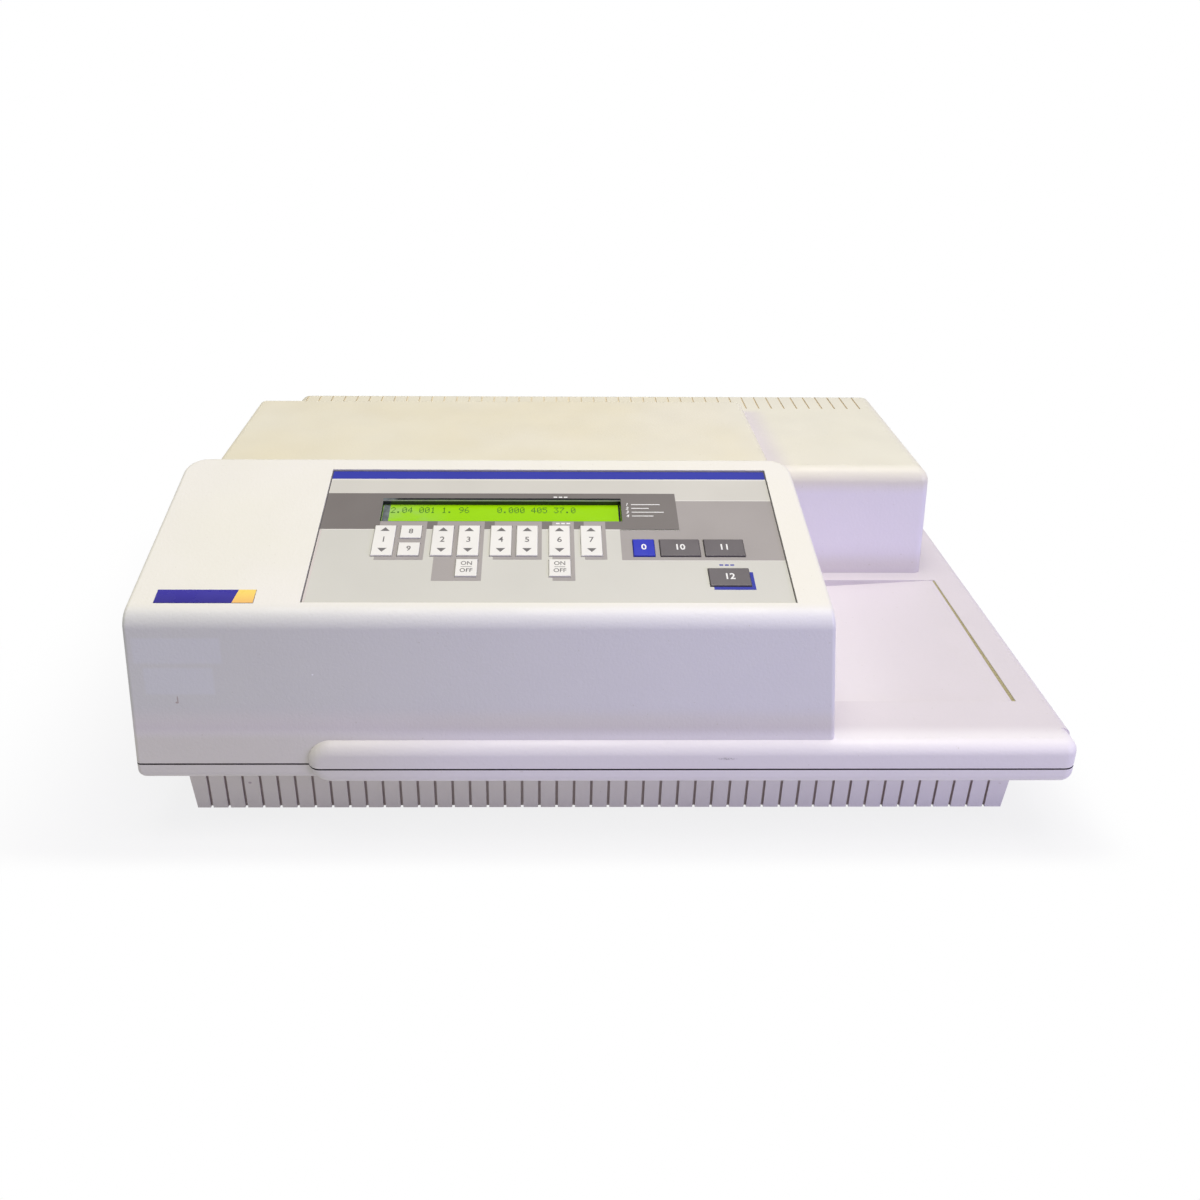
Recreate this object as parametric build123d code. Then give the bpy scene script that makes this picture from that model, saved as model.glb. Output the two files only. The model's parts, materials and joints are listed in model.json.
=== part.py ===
from build123d import *
import math
import os

os.makedirs("parts", exist_ok=True)

# ---- sizes in millimetres; X right, Y to the rear, Z up ----
# housing
body_width = 578.0
body_depth = 382.0
nose_reach = 5.3
foot_height = 8.0
foot_radius = 11.0
foot_inset = 26.0
plinth_height = 37.0
sill_height = 12.6
seam_gap = 1.0
deck_rise = 17.3
face_height = 84.2
face_lean = 4.0
console_width = 427.8
console_run = 142.3
console_rise = 40.3
left_lean = 0.025
right_lean = 0.077
wall = 4.0
crest_radius = 12.0
console_corner = 14.0
edge_round = 3.0
block_setback = 59.9
block_height = 88.9
block_margin = 30.0
block_lean = 3.3
block_round = 11.0
lid_rise = 7.4
lid_round = 5.0
vent_depth = 38.4
core_inset = 28.9
nose_start = 105.0
nose_round = 9.0
deck_round = 8.0
sill_round = 7.0
side_round = 6.0

# plinth and vent grooves
plinth_left = 24.1
plinth_right = 28.5
plinth_front = 18.9
plinth_rear = 12.0
plinth_lean = 2.7
groove_width = 1.7
groove_depth = 2.0
groove_pitch = 11.1
groove_edge = 8.3
vent_groove_width = 1.3
vent_groove_depth = 1.4
vent_groove_drop = 10.0

# loading bay and doorway
bay_length = 155.3
bay_front = 39.2
bay_side = 23.2
bay_fall = 8.0
strip_width = 4.6
strip_depth = 2.0
strip_sink = 0.5
door_width = 146.0
door_rise = 25.0
door_gap = 0.5

# control panel, measured along the slope of the console, its columns from the middle
panel_left = 105.0
panel_width = 295.4
panel_low = 11.5
panel_height = 122.9
panel_pocket = 2.2
panel_plate = 1.0
panel_ledge = 6.0
panel_fit = 0.2
key_width = 13.4
tall_key = 27.3
short_key = 11.6
switch_key = 14.6
command_width = 25.0
command_height = 14.9
key_proud = 1.1
key_gap = 0.35
key_flange = 1.0
flange_thick = 1.0
flange_gap = 0.3
key_travel = 0.5
key_row = 67.3
key_column = -111.6
pair_pitch = 16.6
group_pitch = 37.1
row_gap = 3.2
mix_column = 19.9
shift_column = 52.8
print_column = 69.7
drawer_column = 97.7
command_row = 54.8
read_drop = 10.6
dome_radius = 3.0
board_thick = 1.6
board_margin = 9.0
board_drop = 4.8
board_span = 60.0
lcd_column = -110.0
lcd_width = 157.4
lcd_low = 72.2
lcd_height = 20.7
lcd_sink = 4.1
lcd_glass_thick = 2.0
lcd_rim = 5.0
lcd_rim_low = 2.5
lcd_back = 4.0
badge_left = 18.6
badge_low = 10.8
badge_width = 59.0
badge_height = 11.0
badge_thick = 0.8
badge_proud = 0.2

# plate drawer and its drive
plate_long = 127.76
plate_short = 85.48
nest_gap = 0.7
nest_wall = 4.5
nest_rim = 5.0
nest_ledge = 4.0
nest_setback = 14.0
carriage_lift = 1.2
carriage_thick = 3.0
tail_length = 112.0
door_body = 7.0
rod_radius = 4.0
rod_spread = 55.0
rod_drop = 14.0
rod_length = 240.0
rod_fit = 0.05
rod_post = 10.0
block_size = 20.0
bearing_width = 17.0
bearing_margin = 8.0
bearing_pitch = 54.0
bearing_back = 2.0
bar_thick = 12.0
bar_setback = 8.8
bar_height = 20.0
optic_clear = 19.5
optic_height = 16.0
post_width = 12.0
post_gap = 8.0
channel_pitch = 9.0
channel_radius = 1.8
pulley_radius = 9.0
pulley_height = 8.0
pulley_flange = 1.5
shaft_radius = 2.5
shaft_fit = 0.05
belt_width = 6.0
belt_thick = 1.2
belt_run = 198.0
idler_back = 16.0
motor_size = 42.3
motor_height = 32.0
motor_gap = 3.0
clamp_length = 12.0
clamp_gap = 0.35
clamp_back = 30.0
spring_thick = 0.6
spring_start = 20.0
spring_length = 40.0
spring_nib = 12.0
spring_edge = 0.5

# optics
mono_length = 118.0
mono_width = 100.0
mono_height = 62.0
mono_wall = 3.0
mono_left = 32.0
mono_rear = 78.4
table_radius = 16.0
table_height = 5.0
pivot_radius = 4.0
pivot_length = 14.0
grating_width = 30.0
grating_height = 30.0
grating_thick = 6.0
carrier_thick = 5.0
lamp_width = 56.0
lamp_height = 74.0
lamp_gap = 8.0
bulb_radius = 9.0
bulb_length = 34.0
beam_radius = 5.0
fibre_radius = 4.5
fibre_rise = 16.0

# electronics and rear
chassis_thick = 2.0
chassis_lift = 5.0
chassis_margin = 5.0
chassis_screw = 2.0
screw_side = 40.0
screw_end = 28.0
screw_ahead = 29.5
screw_head = 3.8
screw_head_height = 2.4
main_length = 190.0
main_gap = 22.9
main_side = 16.0
chip_length = 22.0
chip_width = 9.0
chip_height = 3.5
chip_pitch = 32.0
chip_row = 26.0
chip_start = 20.0
board_post = 3.0
board_edge = 5.0
socket_length = 70.0
socket_width = 6.0
socket_height = 9.0
main_lift = 8.0
supply_length = 92.0
supply_gap = 14.2
supply_height = 62.0
supply_right = 14.0
supply_back = 44.0
slot_edge = 14.0
slot_pitch = 10.0
slot_width = 4.0
slot_depth = 1.2
opening_margin = 26.0
opening_low = 7.0
opening_height = 70.0
rear_plate = 2.0
rear_lap = 8.0
fan_size = 60.0
fan_depth = 25.0
fan_wall = 2.0
fan_right = 62.0
fan_gap = 1.5
hub_radius = 12.0
hub_pin = 2.0
inlet_left = 50.0
inlet_width = 27.0
inlet_height = 20.0
inlet_depth = 22.0
inlet_flange = 3.0
inlet_lap = 5.0
switch_left = 104.0
switch_width = 13.0
switch_tall = 19.0
switch_depth = 16.0
switch_lap = 2.5
switch_pivot = 1.5
switch_tilt = 7.0
switch_fit = 0.05
port_left = 165.0
port_pitch = 62.0
port_width = 39.0
port_tall = 8.4
port_plate = 53.0
port_depth = 10.5
port_flange = 12.0
port_slant = 1.5
port_gap = 0.4
cover_screw_radius = 2.0
cover_screw_inset = 14.0
cover_screw_end = 42.0
boss_half = 6.5

# ---- places that follow from the sizes ----
x_left = -body_width / 2
x_right = body_width / 2
y_nose = -body_depth / 2
y_rear = body_depth / 2
y_face = y_nose + nose_reach
y_crest = y_face + face_lean
y_top = y_crest + console_run
y_block = y_top + block_setback
y_vent = y_rear - vent_depth
z_slab = foot_height + plinth_height
z_seam = z_slab + sill_height
z_deck = z_seam + deck_rise
z_crest = z_deck + face_height
z_top = z_crest + console_rise
z_block = z_deck + block_height
z_lid = z_block + lid_rise
x_wall = x_left + console_width
panel_mid = panel_left + panel_width / 2
x_core = x_left + core_inset
x_block = x_right - block_margin
y_bay = y_face + bay_front
y_bay_end = y_bay + bay_length
y_mid = (y_bay + y_bay_end) / 2
x_bay = x_right - bay_side
z_bay = z_deck - bay_fall
z_door_top = z_deck + door_rise
z_floor = foot_height + wall
z_chassis = z_floor + chassis_lift
z_base = z_chassis + chassis_thick
slope = math.atan2(console_rise, console_run)
slope_length = math.hypot(console_rise, console_run)
slope_up = (0, math.cos(slope), math.sin(slope))
slope_out = (0, -math.sin(slope), math.cos(slope))
slope_plane = Plane(origin=(x_left, y_crest, z_crest), x_dir=(1, 0, 0), z_dir=slope_out)


def span(x0, x1, y0, y1, z0, z1):
    box = Box(x1 - x0, y1 - y0, z1 - z0)
    return Pos((x0 + x1) / 2, (y0 + y1) / 2, (z0 + z1) / 2) * box


def on_slope(x0, x1, s0, s1, n0, n1):
    return slope_plane * span(x0, x1, s0, s1, n0, n1)


def rod_z(x, y, z0, z1, radius):
    return Pos(x, y, (z0 + z1) / 2) * Cylinder(radius, z1 - z0)


def rod_x(x0, x1, y, z, radius):
    return Pos((x0 + x1) / 2, y, z) * Rot(0, 90, 0) * Cylinder(radius, x1 - x0)


def rod_y(x, y0, y1, z, radius):
    return Pos(x, (y0 + y1) / 2, z) * Rot(90, 0, 0) * Cylinder(radius, y1 - y0)


def group(shapes):
    return Compound(children=list(shapes))


def save(shape, name):
    export_step(shape, "parts/" + name + ".step")


def near(edges, point_test):
    return [edge for edge in edges if point_test(edge.center())]


# ---- housing ----
def left_at(z):
    return x_left + left_lean * (z - z_seam)


def right_at(z):
    return x_wall - right_lean * (z - z_deck)


def console(inset):
    side = Polygon((y_face, z_seam), (y_crest, z_crest), (y_top, z_top), (y_top, z_seam), align=None)
    high = z_top + wall
    front = Polygon((x_left, z_seam), (left_at(high), high), (right_at(high), high), (x_wall, z_deck),
                    (x_wall, z_seam), align=None)
    if inset:
        side = offset(side, -inset, kind=Kind.INTERSECTION)
        front = offset(front, -inset, kind=Kind.INTERSECTION)
    long_way = extrude(Plane.YZ * side, body_width, both=True)
    deep_way = extrude(Plane.XZ * front, body_depth, both=True)
    solid = (long_way & deep_way).solids()[0]
    back = near(solid.edges(), lambda c: c.Y > y_top - inset - 0.5 and c.Z < z_top - inset - 20
                and c.Z > z_deck + inset + 5)
    solid = fillet(back, console_corner - inset)
    crest = near(solid.edges(), lambda c: abs(c.Y - y_crest) < inset + 3 and abs(c.Z - z_crest) < inset + 3)
    solid = fillet(crest, crest_radius - inset)
    if inset:
        return solid
    soft = [edge for edge in solid.edges() if edge.center().Z > z_deck + 1
            and not (edge.length > 300 and edge.center().Y < y_crest + 20)
            and not (edge.center().Y > y_top - console_corner - 1 and edge.center().Z < z_top - 25)]
    return fillet(soft, edge_round)


def lid_body():
    front = Polygon((x_left, z_seam), (left_at(z_lid), z_lid), (right_at(z_lid), z_lid),
                    (x_wall, z_deck), (x_wall, z_seam), align=None)
    body = extrude(Plane.XZ * front, body_depth, both=True)
    body = (body & span(x_left, x_right, y_top - console_corner, y_vent, z_seam, z_lid)).solids()[0]
    body = fillet(near(body.edges(), lambda c: c.Y > y_vent - 0.5 and abs(c.Z - z_lid) > 5
                       and c.Z > z_deck + 5), side_round)
    top = near(body.edges(), lambda c: c.Z > z_lid - 0.1 and c.Y > y_top - console_corner + 1)
    return fillet(top, lid_round)


def block_body():
    high = z_block - z_deck
    front = Polygon((x_core, z_deck), (x_core, z_block), (x_block - block_lean, z_block),
                    (x_block, z_deck), align=None)
    body = extrude(Plane.XZ * front, body_depth, both=True)
    body = (body & span(x_left, x_right, y_block, y_rear, z_deck, z_block)).solids()[0]
    body = fillet(near(body.edges(), lambda c: abs(c.Z - z_deck - high / 2) < 1), side_round)
    ahead = near(body.edges(), lambda c: c.Z > z_block - 0.1 and c.Y < y_rear - 10
                 and c.X > x_core + 10)
    return fillet(ahead, block_round)


def slab():
    lower = span(x_left, x_right, y_face, y_rear, z_slab, z_seam)
    lead = near(lower.edges().filter_by(Axis.Z), lambda c: c.X < 0 and c.Y < 0)
    lower = fillet(lead, edge_round)
    lower = fillet(near(lower.edges().filter_by(Axis.Z), lambda c: c.X > 0 or c.Y > 0), side_round)
    lower = fillet(near(lower.edges(), lambda c: c.Z < z_slab + 0.1), sill_round)
    outline = Polygon((x_left, z_seam), (left_at(z_deck), z_deck), (x_right, z_deck), (x_right, z_seam),
                      align=None)
    upper = extrude(Plane.XZ * outline, body_depth, both=True)
    upper &= span(x_left - 1, x_right, y_face + crest_radius, y_rear, z_seam, z_deck)
    upper -= span(x_left - 1, x_left + crest_radius, y_nose, y_top, z_seam - 1, z_deck + 1)
    upper = upper.solids()[0]
    upper = fillet(near(upper.edges(), lambda c: c.Y > y_rear - 1 and z_seam + 1 < c.Z < z_deck - 1),
                   side_round)
    brow = near(upper.edges(), lambda c: c.Z > z_deck - 0.1 and c.X > x_right - 1)
    return lower + fillet(brow, deck_round - 2.5)


def nose():
    high = z_deck - z_slab
    start = x_left + nose_start
    outline = Pos(start + high / 2, z_slab + high / 2) * Circle(high / 2)
    outline += Pos((start + high / 2 + x_right) / 2, z_slab + high / 2) * Rectangle(
        x_right - start - high / 2, high)
    body = extrude(Plane.XZ * outline, -(2 * crest_radius))
    body = Pos(0, y_nose, 0) * body
    body = fillet(near(body.edges(), lambda c: c.X > x_right - 0.1 and c.Y < y_nose + 0.1), nose_round)
    lead = near(body.edges(), lambda c: c.Y < y_nose + 0.1)
    arc = [edge for edge in body.edges() if edge.center().X > x_right - nose_round
           and edge.center().Y < y_nose + nose_round and edge.center().Y > y_nose + 0.1
           and abs(abs(edge.center().Z - z_slab - high / 2) - high / 2) < 0.1]
    side = near(body.edges(), lambda c: c.X > x_right - 0.1 and c.Y > y_nose + nose_round
                and abs(abs(c.Z - z_slab - high / 2) - high / 2) < 0.1)
    return fillet(lead + arc + side, nose_round - 1.0)


def cavity():
    hollow = console(wall)
    high = z_lid - z_deck
    hollow += span(x_left + wall + left_lean * high, x_wall - right_lean * high - wall,
                   y_top - wall - console_corner, y_vent - wall, z_deck - wall, z_lid - wall)
    hollow += span(x_core + wall, x_block - block_lean - wall, y_block + wall, y_rear - wall,
                   z_deck - wall, z_block - wall)
    hollow += span(x_left + wall, x_right - wall - 1, y_face + wall, y_rear - wall,
                   z_seam - sill_height, z_deck - wall)
    pad = span(x_wall - wall, x_bay + wall, y_bay - wall, y_bay_end + wall, z_bay - wall, z_deck)
    return hollow - pad


def bay_cut():
    ramp = Polygon((x_wall - wall - 1, z_bay), (x_wall, z_bay), (x_bay, z_deck), (x_bay, z_deck + 1),
                   (x_wall - wall - 1, z_deck + 1), align=None)
    cut = Pos(0, y_bay, 0) * extrude(Plane.XZ * ramp, -bay_length)
    cut -= span(x_wall - wall - 2, x_wall, y_bay - 1, y_bay_end + 1, z_bay - 1, z_deck + 2)
    inside = x_wall - wall - right_lean * (z_lid - z_deck) - 1
    door = span(inside, x_wall + 1, y_mid - door_width / 2, y_mid + door_width / 2,
                z_deck, z_door_top)
    strip = span(x_bay - strip_width, x_bay, y_bay, y_bay_end, z_deck - strip_depth, z_deck + 1)
    return cut + door + strip


def panel_cut():
    pocket = on_slope(panel_left, panel_left + panel_width, panel_low, panel_low + panel_height,
                      -panel_pocket, wall)
    through = on_slope(panel_left + panel_ledge, panel_left + panel_width - panel_ledge,
                       panel_low + panel_ledge, panel_low + panel_height - panel_ledge,
                       -3 * wall, 0)
    badge = on_slope(badge_left, badge_left + badge_width, badge_low, badge_low + badge_height,
                     badge_proud - badge_thick, wall)
    return pocket + through + badge


def vent_grooves():
    count = int((x_block - block_lean - x_core - groove_edge) / groove_pitch)
    cuts = []
    for index in range(count):
        x = x_core + groove_edge + index * groove_pitch
        cuts.append(span(x, x + vent_groove_width, y_vent, y_rear + 1,
                         z_block - vent_groove_depth, z_block + 1))
        cuts.append(span(x, x + vent_groove_width, y_rear - vent_groove_depth, y_rear + 1,
                         z_block - vent_groove_drop, z_block))
    return cuts


def rear_opening():
    return span(x_core + opening_margin, x_block - opening_margin, y_rear - 2 * wall, y_rear + 1,
                z_deck + opening_low, z_deck + opening_low + opening_height)


def cover_screw_places():
    return [(x, y) for x in (x_left + cover_screw_inset, x_right - cover_screw_inset)
            for y in (y_face + cover_screw_end, y_rear - cover_screw_end)]


def top_bosses():
    posts = []
    for x, y in cover_screw_places():
        side = x_left + wall / 2 if x < 0 else x_right - wall - 2
        posts.append(span(min(side, x - boss_half), max(side, x + boss_half), y - boss_half,
                          y + boss_half, z_seam + seam_gap / 2, z_deck - wall / 2))
    return posts


def make_top_cover():
    shell = console(0) + lid_body() + block_body() + slab() + nose()
    shell -= cavity()
    for post in top_bosses():
        shell += post
    shell -= span(x_left - 1, x_right + 1, y_nose - 1, y_rear + 1, z_slab - 5, z_seam + seam_gap / 2)
    shell -= bay_cut()
    shell -= panel_cut()
    shell -= rear_opening()
    for x, y in cover_screw_places():
        shell -= rod_z(x, y, z_seam - 1, z_deck - wall, cover_screw_radius)
    shell -= vent_grooves()
    return shell.solids().sort_by(SortBy.VOLUME)[-1]


def plinth(inset):
    x0 = x_left + plinth_left + plinth_lean + inset
    x1 = x_right - plinth_right - plinth_lean - inset
    y0 = y_face + plinth_front + inset
    y1 = y_rear - plinth_rear - inset
    high = plinth_height + (0 if not inset else inset)
    base = Pos((x0 + x1) / 2, (y0 + y1) / 2) * Rectangle(x1 - x0, y1 - y0)
    lean = math.degrees(math.atan2(plinth_lean, plinth_height))
    body = extrude(base, high, taper=-lean)
    return Pos(0, 0, foot_height + inset) * body


def plinth_grooves():
    x0 = x_left + plinth_left + plinth_lean
    x1 = x_right - plinth_right - plinth_lean
    cuts = []
    for index in range(int((x1 - x0 - groove_edge) / groove_pitch)):
        x = x0 + groove_edge + index * groove_pitch
        y = y_face + plinth_front
        cut = Polygon((y - 1, foot_height - 1), (y + groove_depth, foot_height - 1),
                      (y + groove_depth - plinth_lean, z_slab), (y - 1 - plinth_lean, z_slab), align=None)
        cuts.append(Pos(x, 0, 0) * extrude(Plane.YZ * cut, groove_width))
    return cuts


def chassis_screw_places():
    x0 = x_left + plinth_left + screw_side
    x1 = x_right - plinth_right - screw_side
    middle = y_mono - lamp_gap - lamp_width - screw_ahead
    return [(x, y) for x in (x0, x1) for y in (y_face + plinth_front + screw_end, middle,
                                               y_rear - plinth_rear - screw_end)]


def make_bottom_cover():
    shell = slab() + nose()
    shell -= span(x_left - 1, x_right + 1, y_nose - 1, y_rear + 1, z_seam - seam_gap / 2, z_deck + 5)
    shell += plinth(0)
    shell -= span(x_left + wall, x_right - wall, y_face + wall, y_rear - wall, z_slab + wall, z_deck)
    shell -= plinth(wall)
    for x, y in cover_screw_places():
        shell += span(x - boss_half, x + boss_half, y - boss_half, y + boss_half, z_slab + 1,
                      z_seam - seam_gap / 2)
    for x, y in cover_screw_places():
        shell -= rod_z(x, y, z_slab - 1, z_deck, cover_screw_radius)
        shell -= rod_z(x, y, z_slab - 1, z_slab + wall, screw_head)
    for x, y in chassis_screw_places():
        shell += rod_z(x, y, z_floor - 1, z_chassis, 2 * chassis_screw + 1)
        shell -= rod_z(x, y, z_floor, z_chassis + 1, chassis_screw)
    shell -= plinth_grooves()
    return shell.solids().sort_by(SortBy.VOLUME)[-1]


def make_feet():
    x0 = x_left + plinth_left + foot_inset
    x1 = x_right - plinth_right - foot_inset
    y0 = y_face + plinth_front + foot_inset
    y1 = y_rear - plinth_rear - foot_inset
    foot = Pos(0, 0, foot_height / 2) * Cylinder(foot_radius, foot_height)
    foot = chamfer(foot.edges().group_by(Axis.Z)[0], 1.5)
    return group(Pos(x, y, 0) * foot for x in (x0, x1) for y in (y0, y1))


def make_cover_screws():
    screws = []
    for x, y in cover_screw_places():
        head = rod_z(x, y, z_slab + wall - screw_head_height, z_slab + wall, screw_head - 0.4)
        head -= span(x - 2.4, x + 2.4, y - 0.5, y + 0.5, z_slab, z_slab + wall - screw_head_height + 0.8)
        screws.append(head + rod_z(x, y, z_slab + wall, z_deck - wall - 1, cover_screw_radius))
    return group(screws)


def make_strip():
    return span(x_bay - strip_width, x_bay, y_bay, y_bay_end, z_deck - strip_depth,
                z_deck - strip_sink)


# ---- control panel ----
def key_places():
    top_row = panel_low + key_row - tall_key
    left = panel_mid + key_column
    lower = top_row - row_gap - switch_key
    pair = left + group_pitch
    temp = left + 3 * group_pitch
    tall = (key_width, tall_key)
    small = (key_width, short_key)
    switch = (key_width, switch_key)
    command = (command_width, command_height)
    row = panel_low + command_row - command_height
    read_row = row - read_drop - command_height
    return {
        "key_setup": (left, top_row) + tall,
        "key_save": (left + pair_pitch, top_row + tall_key - short_key) + small,
        "key_recall": (left + pair_pitch, top_row) + small,
        "key_wave_one": (pair, top_row) + tall,
        "key_wave_two": (pair + pair_pitch, top_row) + tall,
        "key_wave_switch": (pair + pair_pitch, lower) + switch,
        "key_mode": (pair + group_pitch, top_row) + tall,
        "key_time": (pair + group_pitch + pair_pitch, top_row) + tall,
        "key_temp": (temp, top_row) + tall,
        "key_temp_switch": (temp, lower) + switch,
        "key_mix": (panel_mid + mix_column, top_row) + tall,
        "key_shift": (panel_mid + shift_column, row, key_width, command_height),
        "key_print": (panel_mid + print_column, row) + command,
        "key_drawer": (panel_mid + drawer_column, row) + command,
        "key_read": (panel_mid + drawer_column, read_row) + command,
    }


def make_panel_plate():
    plate = on_slope(panel_left + panel_fit, panel_left + panel_width - panel_fit,
                     panel_low + panel_fit, panel_low + panel_height - panel_fit,
                     -panel_pocket, panel_plate - panel_pocket)
    for x, s, wide, tall in key_places().values():
        plate -= on_slope(x - key_gap, x + wide + key_gap, s - key_gap, s + tall + key_gap,
                          -2 * panel_pocket, 0)
    x = panel_mid + lcd_column
    plate -= on_slope(x, x + lcd_width, panel_low + lcd_low, panel_low + lcd_low + lcd_height,
                      -2 * panel_pocket, 0)
    return plate


def make_key(x, s, wide, tall):
    top = panel_plate - panel_pocket + key_proud
    flange_top = -panel_pocket - flange_gap
    cap = span(x, x + wide, s, s + tall, flange_top, top)
    cap = fillet(cap.edges().group_by(Axis.Z)[-1], 0.6)
    cap += span(x - key_flange, x + wide + key_flange, s - key_flange, s + tall + key_flange,
                flange_top - flange_thick, flange_top)
    return slope_plane * cap


def make_key_board():
    top = -panel_pocket - board_drop
    x0 = panel_left + board_margin
    x1 = panel_left + panel_width - board_margin
    s0 = panel_low + board_margin
    s1 = s0 + board_span
    board = span(x0, x1, s0, s1, top - board_thick, top)
    reach = -panel_pocket - flange_gap - flange_thick - key_travel - flange_gap
    for x, s, wide, tall in key_places().values():
        board += rod_z(x + wide / 2, s + tall / 2, top, reach, dome_radius)
    for x in (x0 + 4, x1 - 4):
        for s in (s0 + 4, s1 - 4):
            board += rod_z(x, s, top, -panel_pocket, 2.5)
    return slope_plane * board


def make_lcd_frame():
    x0 = panel_mid + lcd_column
    s0 = panel_low + lcd_low
    glass_top = panel_plate - panel_pocket - lcd_sink
    body = span(x0 - lcd_rim, x0 + lcd_width + lcd_rim, s0 - lcd_rim_low, s0 + lcd_height + lcd_rim,
                glass_top - lcd_glass_thick - lcd_back, -panel_pocket)
    body -= span(x0, x0 + lcd_width, s0, s0 + lcd_height, glass_top - lcd_glass_thick, 0)
    return slope_plane * body


def make_lcd_glass():
    x0 = panel_mid + lcd_column
    s0 = panel_low + lcd_low
    top = panel_plate - panel_pocket - lcd_sink
    return on_slope(x0 + panel_fit, x0 + lcd_width - panel_fit, s0 + panel_fit,
                    s0 + lcd_height - panel_fit, top - lcd_glass_thick, top)


def make_badge():
    return on_slope(badge_left + panel_fit, badge_left + badge_width - panel_fit,
                    badge_low + panel_fit, badge_low + badge_height - panel_fit,
                    badge_proud - badge_thick, badge_proud)


# ---- plate drawer ----
z_carriage = z_deck + carriage_lift
x_front = x_wall - door_body
x_nest = x_front - nest_setback - plate_short - 2 * nest_gap
x_tail = x_nest - nest_wall - tail_length
z_rod = z_carriage - rod_drop
x_bar = x_front - bar_setback - bar_thick
x_rod = x_bar + bar_thick / 2 - rod_length
half_nest = plate_long / 2 + nest_gap + nest_wall
x_bearing = x_tail + bearing_back
z_belt = z_rod
x_idler = x_bar - idler_back
x_motor = x_idler - belt_run
z_plate = z_carriage + carriage_thick


def make_carriage():
    body = span(x_tail, x_front, y_mid - half_nest, y_mid + half_nest, z_carriage, z_plate)
    x0 = x_nest - nest_wall
    x1 = x_nest + plate_short + 2 * nest_gap + nest_wall
    body += span(x0, x1, y_mid - half_nest, y_mid + half_nest, z_plate, z_plate + nest_rim)
    pocket = span(x_nest, x1 - nest_wall, y_mid - half_nest + nest_wall,
                  y_mid + half_nest - nest_wall, z_plate, z_plate + 2 * nest_rim)
    light = span(x_nest + nest_ledge, x1 - nest_wall - nest_ledge,
                 y_mid - half_nest + nest_wall + nest_ledge,
                 y_mid + half_nest - nest_wall - nest_ledge, z_carriage - 1, z_plate + 1)
    finger = span(x1 - nest_wall - 1, x1 + 1, y_mid - 12, y_mid + 12, z_plate + 1, z_plate + 2 * nest_rim)
    corner = [edge for edge in body.edges().filter_by(Axis.Z) if edge.center().X < x_tail + 1]
    body = fillet(corner, 6)
    return body - pocket - light - finger


def make_drawer_front():
    block = span(x_front, x_wall + 1, y_mid - door_width / 2 + door_gap,
                 y_mid + door_width / 2 - door_gap, z_deck + door_gap, z_door_top - door_gap)
    lean = Polygon((x_front, z_deck), (x_wall, z_deck), (right_at(z_door_top), z_door_top),
                   (x_front, z_door_top), align=None)
    return block & extrude(Plane.XZ * lean, body_depth, both=True)


def rod_sides():
    return (y_mid - rod_spread, y_mid + rod_spread)


def make_bearings():
    blocks = []
    for y in rod_sides():
        for x in (x_bearing, x_bearing + bearing_pitch):
            body = span(x, x + block_size, y - bearing_width / 2, y + bearing_width / 2,
                        z_rod - bearing_margin, z_carriage)
            blocks.append(body - rod_x(x - 1, x + block_size + 1, y, z_rod, rod_radius + rod_fit))
    return group(blocks)


def make_rods():
    return group(rod_x(x_rod, x_rod + rod_length, y, z_rod, rod_radius) for y in rod_sides())


def make_rod_posts():
    posts = []
    for y in rod_sides():
        body = span(x_rod, x_rod + rod_post, y - bearing_width / 2, y + bearing_width / 2, z_base,
                    z_rod + bearing_margin)
        posts.append(body - rod_x(x_rod - 1, x_rod + rod_post + 1, y, z_rod, rod_radius))
    return group(posts)


def channel_places():
    return [y_mid + (index - 5.5) * channel_pitch for index in range(12)]


def bar_half():
    return rod_spread + bearing_width / 2 + 4


def make_detector_bar():
    low = z_carriage - carriage_lift - 1 - bar_height
    body = span(x_bar, x_bar + bar_thick, y_mid - bar_half(), y_mid + bar_half(), low,
                low + bar_height)
    for y in rod_sides():
        body += span(x_bar, x_bar + bar_thick, y - bearing_width / 2, y + bearing_width / 2,
                     z_base, low + 1)
        body -= rod_x(x_bar - 1, x_bar + bar_thick / 2, y, z_rod, rod_radius)
    for y in channel_places():
        body -= rod_z(x_bar + bar_thick / 2, y, low + bar_height - 6, low + bar_height + 1,
                      channel_radius)
    return body


def make_optics_bar():
    low = z_plate + optic_clear
    reach = half_nest + post_gap + post_width
    body = span(x_bar, x_bar + bar_thick, y_mid - reach, y_mid + reach, low, low + optic_height)
    body = chamfer(body.edges().filter_by(Axis.Y).group_by(Axis.Z)[-1], 2)
    for y in channel_places():
        body -= rod_z(x_bar + bar_thick / 2, y, low - 1, low + 6, channel_radius)
    return body


def make_optics_posts():
    posts = []
    for sign in (-1, 1):
        y0 = y_mid + sign * (half_nest + post_gap)
        y1 = y0 + sign * post_width
        posts.append(span(x_bar, x_bar + bar_thick, min(y0, y1), max(y0, y1), z_base,
                          z_plate + optic_clear))
    return group(posts)


def pulley(x, bore):
    low = z_belt - pulley_height / 2
    body = rod_z(x, y_mid, low, low + pulley_height, pulley_radius)
    body += rod_z(x, y_mid, low - 1, low, pulley_radius + pulley_flange)
    body += rod_z(x, y_mid, low + pulley_height, low + pulley_height + 1,
                  pulley_radius + pulley_flange)
    if bore:
        body -= rod_z(x, y_mid, low - 2, low + pulley_height + 2, bore)
    return body


def make_drive_pulley():
    return pulley(x_motor, 0) + rod_z(x_motor, y_mid, z_base + motor_gap + motor_height / 2,
                                      z_belt, shaft_radius)


def make_idler_pulley():
    return pulley(x_idler, shaft_radius + shaft_fit)


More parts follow.
